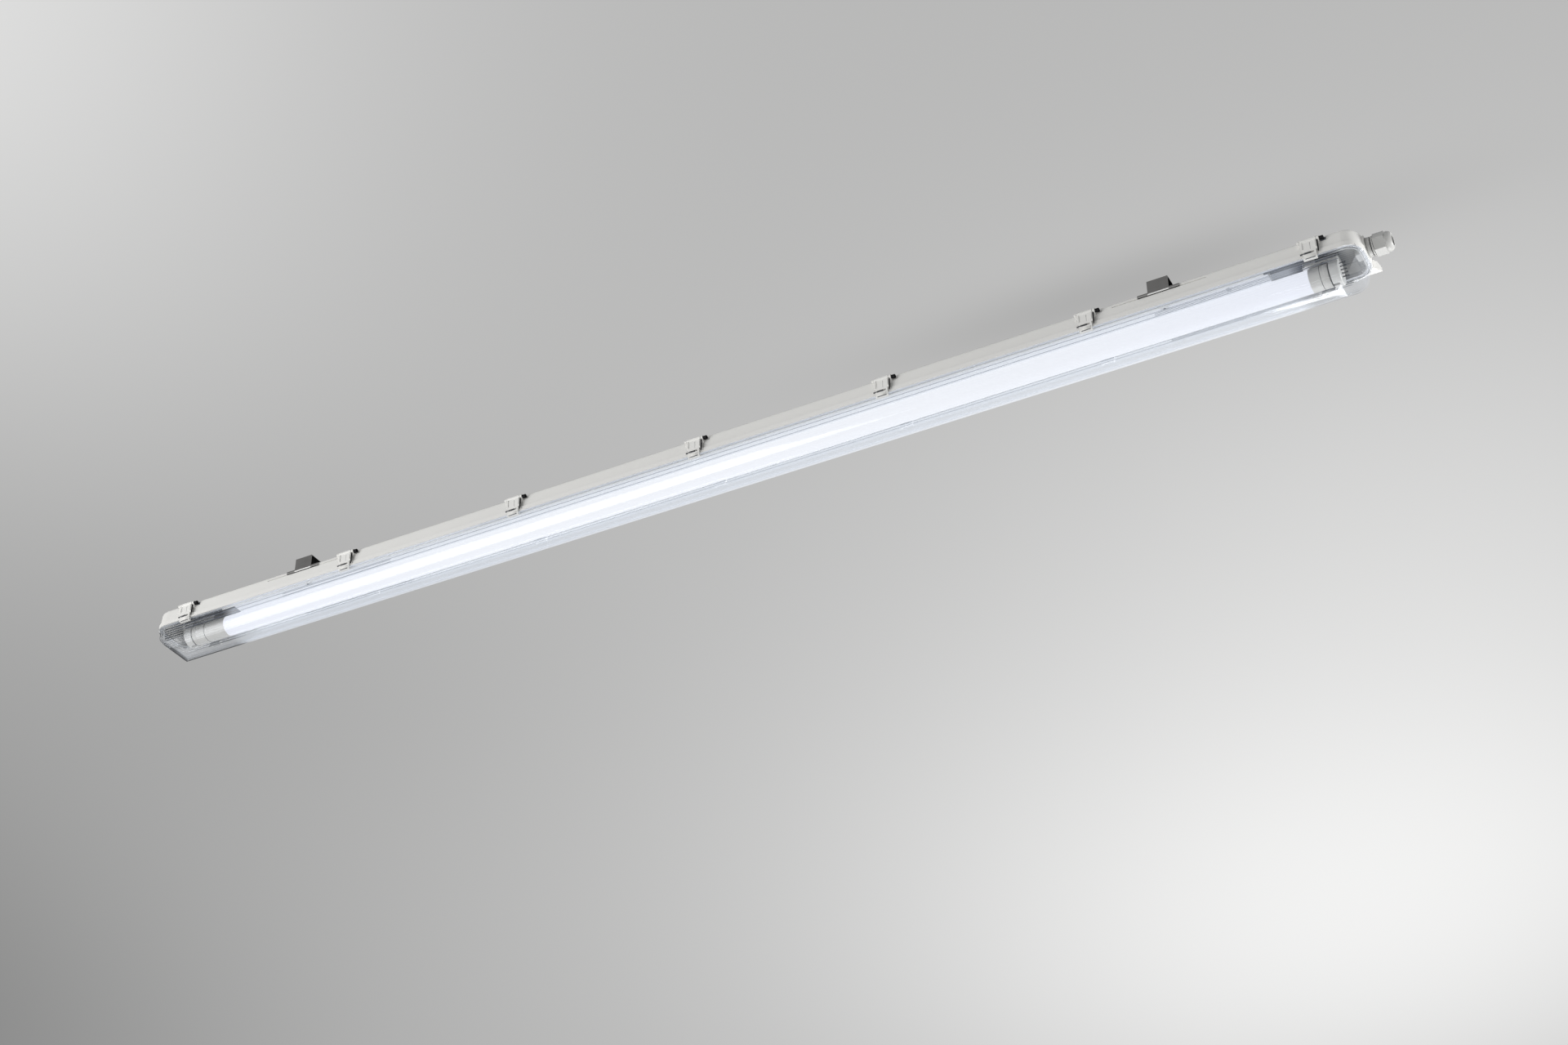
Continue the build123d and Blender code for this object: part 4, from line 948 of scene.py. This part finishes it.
@dataclass
class Housing:
    """The trough of the fixture with its gasket and the ribs on its roof.

    Attributes:
        half_length, half_width: half the outer size of the rim.
        corner: radius of the rim's corners in plan.
        rim_wall: outer wall of the gasket groove.
        groove_width, groove_top: width of the groove, and height of its roof.
        gasket_height, gasket_slack: height of the cord in it, and how much less it is made.
        roof_level: height of the roof's outside.
        rib_length, rib_width, rib_height: length of a roof rib, and half its section.
        rib_rows, rib_step: first place and number of the ribs in each row, and their step.
    """

    half_length: float = 795 * MM
    half_width: float = 31 * MM
    corner: float = 20 * MM
    rim_wall: float = 1.6 * MM
    groove_width: float = 4 * MM
    groove_top: float = -33.5 * MM
    gasket_height: float = 2.3 * MM
    gasket_slack: float = 0.05 * MM
    roof_level: float = -13 * MM
    rib_length: float = 37.2 * MM
    rib_width: float = 0.8 * MM
    rib_height: float = 0.9 * MM
    rib_rows: tuple[tuple[float, int], ...] = ((-0.74, 5), (-0.51, 35), (0.62, 5))
    rib_step: float = 0.03

    def gasket(self, trees: Trees) -> None:
        """Builds the foam cord that lies in the rim's groove."""
        inset = self.rim_wall + self.groove_width / 2
        piece = trees.cord.bake("foam_gasket", GASKET_FOAM, {
            "Length": 2 * (self.half_length - inset),
            "Width": 2 * (self.half_width - inset),
            "Corner": self.corner - inset,
            "Place": (MIDDLE, 0, self.groove_top - self.gasket_height / 2),
            "Cord width": self.groove_width - self.gasket_slack,
            "Cord height": self.gasket_height - self.gasket_slack,
        })
        settle(piece, "housing", "gasket_foam", "base_gasket")

    def roof_ribs(self, trees: Trees) -> None:
        """Builds the low cross ribs on the roof, clear of the two brackets."""
        size = (self.rib_length, self.rib_width, self.rib_height)
        for number, (first, count) in enumerate(self.rib_rows, 1):
            start, step = (MIDDLE + first, 0, self.roof_level), (self.rib_step, 0, 0)
            name = f"roof_ribs_{number}"
            piece = trees.bars.lay(name, HOUSING_GREY, start, size, ALONG_Y, step, count)
            settle(piece, "housing", "housing_plastic")

    def build(self, trees: Trees) -> None:
        """Dresses the housing and adds its gasket and ribs."""
        HOUSING_GREY.dress("base_housing")
        self.gasket(trees)
        self.roof_ribs(trees)


@dataclass(frozen=True)
class LineRow:
    """A row of lines on the cover's inner wall.

    Attributes:
        end: end of the fixture that it lies at.
        start, stop: distances from the housing's middle between which it lies.
        high, low: angles of its first and last line from straight down.
        count: number of its lines.
    """

    end: End
    start: float
    stop: float
    high: float
    low: float
    count: int


@dataclass
class Cover:
    """The clear cover and the lines of painted shade between its inner prisms.

    Attributes:
        side, top: half width and height of the inner wall where it starts.
        low_radius, low_level: radius of its round bottom, and its lowest height.
        lift: how far inside the wall the lines lie.
        wall_steps: steps of the wall's cross-section.
        line_width, band_width: widths of a fine line and of a dark band at the ends.
        thickness: their thickness.
        lines: the fine lines along the whole cover.
        bands: rows of dark bands of painted shade over the unlit ends.
        shaded: rows of lines of painted shade between the brackets and the unlit ends.
        open_angle: the far side has no band that lies lower than this angle.
    """

    side: float = 26.4 * MM
    top: float = -38.5 * MM
    low_radius: float = 24 * MM
    low_level: float = -70.5 * MM
    lift: float = 0.12 * MM
    wall_steps: int = 12
    line_width: float = 0.9 * MM
    band_width: float = 1.5 * MM
    thickness: float = 0.16 * MM
    lines: LineRow = LineRow(End.LEFT, -768 * MM, 768 * MM, 102, 91, 2)
    bands: tuple[LineRow, ...] = (
        LineRow(End.LEFT, 749 * MM, 778 * MM, 104, 68, 6),
        LineRow(End.LEFT, 688 * MM, 746 * MM, 104, 88, 3),
        LineRow(End.RIGHT, 744 * MM, 770 * MM, 106, 100, 2),
        LineRow(End.RIGHT, 768 * MM, 775 * MM, 76, 40, 5),
    )
    shaded: tuple[LineRow, ...] = (
        LineRow(End.LEFT, 430 * MM, 593 * MM, 99, 92, 2),
        LineRow(End.RIGHT, 565 * MM, 732 * MM, 99, 91, 3),
    )
    open_angle: float = 85

    def wall(self, row: LineRow, side: Side) -> list[Point]:
        """Points down the inner wall of one side, between the angles of a row."""
        place = MIDDLE + row.end.value * (row.start + row.stop) / 2
        radius, centre = self.low_radius - self.lift, self.low_level + self.low_radius
        points = []
        for step in range(self.wall_steps + 1):
            angle = math.radians(row.high + (row.low - row.high) * step / self.wall_steps)
            out, drop = radius * math.sin(angle), radius * math.cos(angle)
            if angle > QUARTER_TURN:
                out = radius + (self.side - self.low_radius) * min(1.0, -drop / (self.top - centre))
            points.append((place, side.value * out, centre - drop))
        return points

    def prism_lines(self, trees: Trees) -> None:
        """Builds the lines of painted shade on both sides: the fine lines, the dark bands and the shaded
        lines.
        """
        for side in Side:
            name = side.name.lower()
            rows = [(f"lines_{name}", PRISM_LINE, self.line_width, self.lines)]
            rows += [
                (f"bands_{name}_{number}", PRISM_BAND_SHADE, self.band_width, row)
                for number, row in enumerate(self.bands, 1)
                if side is Side.NEAR or row.low > self.open_angle
            ]
            rows += [
                (f"shades_{name}_{number}", PRISM_SHADE, self.line_width, row)
                for number, row in enumerate(self.shaded, 1)
            ]
            for label, finish, width, row in rows:
                piece = trees.lines.bake(f"prism_{label}", finish, {
                    "Count": row.count,
                    "Length": row.stop - row.start,
                    "Width": width,
                    "Thickness": self.thickness,
                }, guide(f"prism_{label}_guide", self.wall(row, side)))
                settle(piece, "cover", "cover_clear")

    def build(self, trees: Trees) -> None:
        """Dresses the cover and adds its lines."""
        COVER_CLEAR.dress("diffuser_cover")
        self.prism_lines(trees)


@dataclass(frozen=True)
class ClipBar:
    """A bar, or a short row of them, that every clip carries.

    Attributes:
        name: the last part of its name.
        finish, slot: its finish and its material slot.
        offset, out, level: X from the clip's middle, distance from the middle plane, height.
        length, radius: its size.
        turn: how it lies.
        count: number of bars, one above the other.
    """

    name: str
    finish: Finish
    slot: str
    offset: float
    out: float
    level: float
    length: float
    radius: float
    turn: Point = UPRIGHT
    count: int = 1


@dataclass
class Clips:
    """The closing clips with their grips, springs and marks of painted shade, and their pins.

    Attributes:
        reach: distance from the housing's middle to the last clip.
        shares: the clips' places along X as shares of the reach.
        bars: the grip, the spring's leg, the two dark bars of painted shade and the painted shadow line
            of a clip.
        grip_pitch: step of the lines of a grip.
        coil_offset, coil_side, coil_level: place of the spring's coil in the recess.
        coil_radius, coil_length, coil_turns, coil_wire: its size.
    """

    reach: float = 741.4 * MM
    shares: tuple[float, ...] = (-1.0, -0.667, -0.335, 0.0, 0.327, 0.659, 1.0)
    bars: tuple[ClipBar, ...] = (
        ClipBar("grip", CLIP_GREY, "clip_plastic",
                0.0, 33.4 * MM, -40.9 * MM, 12.5 * MM, 0.3 * MM, ALONG_X, 4),
        # The dark spring leg also paints the shade between the plate's edge and the housing.
        ClipBar("spring_leg", SPRING_STEEL, "pin_steel",
                9.95 * MM, 33.0 * MM, -27.9 * MM, 15.0 * MM, 0.72 * MM),
        # Painted shade: a dark bar in the foot's window.
        ClipBar("slot_1", SHADE_BAR_DARK, "clip_plastic",
                -4.0 * MM, 33.0 * MM, -34.2 * MM, 12.0 * MM, 0.85 * MM, ALONG_X),
        # Painted shadow: a dark bar under the foot, on the cover.
        ClipBar("slot_2", SHADE_BAR_DARK, "clip_plastic",
                0.5 * MM, 33.0 * MM, -41.3 * MM, 11.0 * MM, 0.5 * MM, ALONG_X),
        # Painted shadow: the groove bar is a grey line where the plate's raised strip casts shade.
        ClipBar("groove", SHADE_LINE_GREY, "clip_plastic",
                1.8 * MM, 33.0 * MM, -25.5 * MM, 9.0 * MM, 0.5 * MM),
    )
    grip_pitch: float = 1.1 * MM
    coil_offset: float = 12.6 * MM
    coil_side: float = 31.6 * MM
    coil_level: float = -18.3 * MM
    coil_radius: float = 2.0 * MM
    coil_length: float = 4.2 * MM
    coil_turns: float = 4.0
    coil_wire: float = 0.52 * MM

    def place(self, number: int) -> float:
        """X of the middle of a clip."""
        return MIDDLE + self.shares[number - 1] * self.reach

    def details(self, trees: Trees, side: Side, number: int) -> None:
        """Builds the grip, the spring's leg, the dark bars of painted shade and the painted shadow line
        of one clip.
        """
        body = f"clip_{side.name.lower()}_{number}"
        CLIP_GREY.dress(body)
        for bar in self.bars:
            start = (self.place(number) + bar.offset, side.value * bar.out, bar.level)
            size, step = (bar.length, bar.radius, bar.radius), (0, 0, self.grip_pitch)
            name = f"{body}_{bar.name}"
            piece = trees.bars.lay(name, bar.finish, start, size, bar.turn, step, bar.count)
            settle(piece, body, bar.slot)

    def coils(self, trees: Trees) -> None:
        """Builds the dark coils of all the springs in the recesses beside the clips, which also paint
        the recesses' shade.
        """
        points = [
            (self.place(number) + self.coil_offset, side.value * self.coil_side, self.coil_level)
            for side in Side for number in range(1, CLIP_COUNT + 1)
        ]
        piece = trees.coils.bake("clip_spring_coils", SPRING_STEEL, {
            "Radius": self.coil_radius,
            "Length": self.coil_length,
            "Turns": self.coil_turns,
            "Thickness": self.coil_wire,
        }, guide("clip_spring_coils_guide", points, joined=False))
        settle(piece, "housing", "pin_steel")

    def build(self, trees: Trees) -> None:
        """Dresses the clips and pins and adds what the clips carry."""
        DRAWN_STEEL.dress("clip_pins")
        for side in Side:
            for number in range(1, CLIP_COUNT + 1):
                self.details(trees, side, number)
        self.coils(trees)


@dataclass
class Brackets:
    """The two ceiling brackets of bent strip."""

    def build(self) -> None:
        """Dresses the brackets."""
        STRIP_STEEL.dress("ceiling_bracket_left", "ceiling_bracket_right")


@dataclass
class GearTray:
    """The white tray with its latches, rivets, earth screw and terminal block.

    Attributes:
        latch_reach, latch_side: distances of the latches from the origin along X and Y.
        dot_level, dot_radius, dot_height: the black dot of painted shade for the slot in the middle of a
            latch's knob.
    """

    latch_reach: float = 568.2 * MM
    latch_side: float = 15 * MM
    dot_level: float = -31.8 * MM
    dot_radius: float = 1.5 * MM
    dot_height: float = 0.3 * MM

    def build(self, trees: Trees) -> None:
        """Dresses the tray and what is fixed to it, and adds black dots of painted shade on the latches'
        knobs.
        """
        TRAY_WHITE.dress("gear_tray")
        TERMINAL_WHITE.dress("terminal_block", "wire_clips")
        CONTACT_BRASS.dress("terminal_clamps", "earth_screw")
        ZINC_STEEL.dress("terminal_rivets")
        for number in range(1, LATCH_COUNT + 1):
            latch = f"tray_latch_{number}"
            LATCH_WHITE.dress(latch)
            x, y, _ = node(latch).bound_box[0]  # any corner tells the latch's end and side
            x, y = math.copysign(self.latch_reach, x), math.copysign(self.latch_side, y)
            # Painted shade: a black dot where the knob's slot is.
            size = (self.dot_height, self.dot_radius, self.dot_radius)
            name = f"latch_socket_{number}"
            piece = trees.bars.lay(name, SHADE_BLACK, (x, y, self.dot_level), size)
            settle(piece, f"latch_{number}", "latch_plastic")


@dataclass
class Lamp:
    """The lit tube with its collars, turning caps, pins and the parts inside it.

    Attributes:
        level: height of its axis.
        cap_radius: radius of the turning caps.
        grip_places: where the grip of each cap lies along X, from the housing's middle.
        grip_length, grip_radius, grip_count: size and number of the grip's bars.
        joints: where each black ring of painted shade in the gaps at the caps lies, likewise, and how
            thick it is.
    """

    level: float = -45 * MM
    cap_radius: float = 13 * MM
    grip_places: tuple[float, float] = (-741.4 * MM, 749.6 * MM)
    grip_length: float = 5 * MM
    grip_radius: float = 0.28 * MM
    grip_count: int = 44
    joints: tuple[tuple[float, float], ...] = (
        (-745.6 * MM, 0.36 * MM),
        (-725.7 * MM, 0.36 * MM),
        (743.7 * MM, 0.36 * MM),
        (753.6 * MM, 1.1 * MM),
    )

    def build(self, trees: Trees) -> None:
        """Dresses the lamp and adds the grips of its caps and black rings of painted shade in the gaps
        beside them.
        """
        TUBE_LIT.dress("tube_glass")
        BOARD_WHITE.dress("led_board")
        BOARD_GREEN.dress("tube_driver")
        PACKAGE_YELLOW.dress("led_chips")
        CONTACT_BRASS.dress("cap_pins")
        for end, place in zip(End, self.grip_places):
            name = end.name.lower()
            CAP_GREY.dress(f"tube_collar_{name}", f"tube_cap_{name}")
            piece = trees.knurl.bake(f"tube_cap_grip_{name}", CAP_GREY, {
                "Centre": (MIDDLE + place, 0, self.level),
                "Count": self.grip_count,
                "Radius": self.cap_radius,
                "Length": self.grip_length,
                "Thickness": self.grip_radius,
            })
            settle(piece, "lamp_ends", "cap_plastic")
        # Painted shade: black rings in the gaps at the caps.
        for number, (place, radius) in enumerate(self.joints, 1):
            piece = trees.rings.bake(f"tube_joint_{number}", SHADE_BLACK, {
                "Start": (MIDDLE + place, 0, self.level),
                "Pitch": 0.0,
                "Count": 1,
                "Radius": self.cap_radius - radius / 2,
                "Thickness": radius,
            })
            settle(piece, "lamp_ends", "seal_rubber")


@dataclass
class Lampholders:
    """The two lampholders with their rotors, contacts and screws."""

    def build(self) -> None:
        """Dresses the lampholders."""
        for end in End:
            name = end.name.lower()
            HOLDER_WHITE.dress(f"lampholder_{name}")
            ROTOR_DARK.dress(f"lamp_rotor_{name}")
        CONTACT_BRASS.dress("lampholder_contacts")
        ZINC_STEEL.dress("lampholder_screws")


@dataclass
class Gland:
    """The cable gland: body, seals, lock nut and dome nut.

    Attributes:
        level: height of its axis.
        neck_start, neck_pitch, neck_count: place, step and number of the rings in its neck.
        neck_radius, ring_thickness: radius of the neck and of a ring's section.
    """

    level: float = -24.5 * MM
    neck_start: float = 800.2 * MM
    neck_pitch: float = 0.6 * MM
    neck_count: int = 2
    neck_radius: float = 8.8 * MM
    ring_thickness: float = 0.22 * MM

    def build(self, trees: Trees) -> None:
        """Dresses the gland and adds its rings."""
        GLAND_GREY.dress("gland_body", "gland_lock_nut", "gland_dome_nut")
        CAGE_BLACK.dress("gland_cage")
        SEAL_RUBBER.dress("gland_seal")
        SEAL_GREY.dress("gland_seal_washer")
        piece = trees.rings.bake("gland_neck_rings", SEAL_RUBBER, {
            "Start": (MIDDLE + self.neck_start, 0, self.level),
            "Pitch": self.neck_pitch,
            "Count": self.neck_count,
            "Radius": self.neck_radius,
            "Thickness": self.ring_thickness,
        })
        settle(piece, "housing", "gland_plastic")


@dataclass
class Wiring:
    """The wires between the terminal block, the lampholders and the earth screw."""

    def build(self) -> None:
        """Dresses the wires."""
        WIRE_BROWN.dress("wire_live")
        WIRE_BLUE.dress("wire_neutral")
        WIRE_EARTH.dress("wire_earth")


@dataclass(frozen=True)
class Pool:
    """A soft pool of light or shade on the ceiling.

    Attributes:
        across, along: its middle, across and along the view, in metres.
        width, depth: how far it reaches both ways.
        strength: what it adds to the ceiling's brightness.
        turned: whether it follows the view; if not, it follows X and Y.
    """

    across: float
    along: float
    width: float
    depth: float
    strength: float
    turned: bool = True


@dataclass(frozen=True)
class Softbox:
    """A rectangular studio lamp.

    Attributes:
        name: the lamp's name.
        place, target: where it stands and what it faces.
        size: its width and height.
        power: its power in watts.
    """

    name: str
    place: Point
    target: Point
    size: tuple[float, float]
    power: float

    def build(self) -> None:
        """Adds the lamp."""
        data = bpy.data.lights.new(self.name, "AREA")
        data.shape = "RECTANGLE"
        data.size, data.size_y = self.size
        data.energy = self.power
        lamp = stand(self.name, data)
        lamp.location = self.place
        facing = Vector(self.target) - Vector(self.place)
        lamp.rotation_euler = facing.to_track_quat("-Z", "Y").to_euler()


@dataclass
class Studio:
    """Ceiling, floor, world, lamps and camera.

    Attributes:
        ceiling_level, floor_level: their heights.
        reach: half the size of the ceiling and the floor.
        base: the ceiling's brightness away from its pools.
        blue: its blue light as a share of the other two.
        pools: soft pools of painted light and shade on the ceiling.
        across, along: the ceiling's own directions, which the pools follow.
        lamps: the studio lamps.
        floor_colour, floor_dull: the floor's colour, and the factor on it where it is dull.
        world_colour: the even light from all round.
        lens, sensor: the camera's lens and film width in millimetres.
        sight: how far the camera sees, in metres.
        eye, right, up, forward: the camera's place and directions.
    """

    ceiling_level: float = 0.4 * MM
    floor_level: float = -2.6
    reach: float = 9.0
    base: float = 0.47
    blue: float = 0.995
    pools: tuple[Pool, ...] = (
        Pool(1.0, 1.15, 0.85, 1.1, 0.42),
        Pool(-0.85, -1.0, 0.5, 0.8, 0.34),
        Pool(-1.6, 1.5, 0.8, 1.4, -0.24),
        Pool(-0.6, 0.45, 0.5, 0.5, -0.04),
        Pool(0.85, 0.0, 0.5, 0.45, 0.05),
        # Painted shadow of the fixture on the ceiling, along X and Y.
        Pool(0.53, -0.03, 0.28, 0.055, -0.11, turned=False),
    )
    across: tuple[float, float] = (0.884, 0.468)
    along: tuple[float, float] = (-0.468, 0.884)
    lamps: tuple[Softbox, ...] = (
        Softbox("front_softbox", (-2.2, -2.2, -0.9), (-0.5, 0, -0.03), (2.8, 2.2), 72.0),
        Softbox("low_softbox", (1.6, -1.0, -2.0), (0.5, 0, -0.05), (1.6, 0.8), 7.0),
        Softbox("rear_softbox", (0.85, 1.5, -1.75), (0.7, 0, -0.05), (1.15, 1.6), 38.0),
        Softbox("end_softbox", (3.0, 0.7, -0.5), (0.8, 0, -0.03), (0.8, 0.8), 60.0),
    )
    floor_colour: Colour = shade(214, 214, 212)
    floor_dull: float = 0.96
    world_colour: Colour = (0.36, 0.365, 0.37)
    lens: float = 59.2
    sensor: float = 36.0
    sight: float = 60.0
    eye: Point = (1.2088, -2.103, -1.813)
    right: Point = (0.88321, 0.46899, -0.00172)
    up: Point = (0.27018, -0.5058, 0.81926)
    forward: Point = (-0.38335, 0.72403, 0.57343)

    def _backdrop(
        self, name: str, level: float, tree: MaterialTree, shown: object, rays: tuple[str, ...] = ()
    ) -> None:
        """Builds a square that shows a shader from its front alone.

        Args:
            name: its name.
            level: its height. Above the origin it faces down, and below it up.
            tree: its material's tree.
            shown: the shader that its front shows.
            rays: Light Path outputs of the rays that it lets through.
        """
        corners = [(-1, -1), (1, -1), (1, 1), (-1, 1)]
        if level > 0:
            corners.reverse()
        mesh = bpy.data.meshes.new(name)
        points = [(x * self.reach, y * self.reach, level) for x, y in corners]
        mesh.from_pydata(points, [], [(0, 1, 2, 3)])
        stand(name, mesh)
        passing = tree.value("ShaderNodeNewGeometry", output="Backfacing")
        for ray in rays:
            passing = passing.most(tree.value("ShaderNodeLightPath", output=ray))
        mesh.materials.append(tree.finish(tree.mixed(passing, shown, tree.clear())))

    def ceiling(self) -> None:
        """Builds the pale ceiling with its soft pools of painted light and shade."""
        tree = MaterialTree("ceiling_backdrop")
        x, y = tree.axis("X"), tree.axis("Y")
        across = x * self.across[0] + y * self.across[1]
        along = x * self.along[0] + y * self.along[1]
        light = self.base
        for pool in self.pools:
            first, second = (across, along) if pool.turned else (x, y)
            wide = (first - pool.across) * (1 / pool.width)
            deep = (second - pool.along) * (1 / pool.depth)
            light = light + ((wide * wide + deep * deep) * -1.0).exp() * pool.strength
        tint = tree.value("ShaderNodeCombineXYZ", {"X": light, "Y": light, "Z": light * self.blue})
        glow = tree.add("ShaderNodeEmission", {"Color": tint}).outputs[0]
        rays = ("Is Shadow Ray", "Is Diffuse Ray")
        self._backdrop("ceiling", self.ceiling_level, tree, glow, rays)

    def floor(self) -> None:
        """Builds the plain pale floor."""
        tree = MaterialTree("studio_floor")
        dull = tuple(c * self.floor_dull for c in self.floor_colour)
        colour = tree.blend(tree.noise(scale=1.5), dull, self.floor_colour)
        self._backdrop("floor", self.floor_level, tree, tree.principled(colour, roughness=0.85))

    def world(self) -> None:
        """Sets the even light from all round."""
        world = bpy.data.worlds.new("studio_world")
        world.use_nodes = True
        bpy.context.scene.world = world
        tree = NodeTree(world.node_tree)
        world.node_tree.nodes.clear()
        sky = tree.add("ShaderNodeBackground", {"Color": self.world_colour, "Strength": 1.0})
        tree.add("ShaderNodeOutputWorld", {"Surface": sky.outputs[0]})

    def camera(self) -> None:
        """Adds the camera at the photograph's viewing angle."""
        data = bpy.data.cameras.new("view")
        data.lens = self.lens
        data.sensor_width = self.sensor
        data.clip_end = self.sight
        turn = Matrix((self.right, self.up, Vector(self.forward) * -1)).transposed()
        camera = stand("view", data)
        camera.matrix_world = Matrix.Translation(self.eye) @ turn.to_4x4()
        bpy.context.scene.camera = camera

    def build(self) -> None:
        """Builds the studio."""
        self.camera()
        self.ceiling()
        self.floor()
        self.world()
        for lamp in self.lamps:
            lamp.build()
        bpy.context.scene.view_settings.view_transform = "Standard"


def main() -> None:
    """Builds the studio and every sub-assembly in order."""
    logging.basicConfig(level=logging.INFO, format="%(message)s")
    Studio().build()
    trees = Trees()
    Housing().build(trees)
    Cover().build(trees)
    Clips().build(trees)
    Brackets().build()
    GearTray().build(trees)
    Lamp().build(trees)
    Lampholders().build()
    Gland().build(trees)
    Wiring().build()


if __name__ == "__main__":
    main()
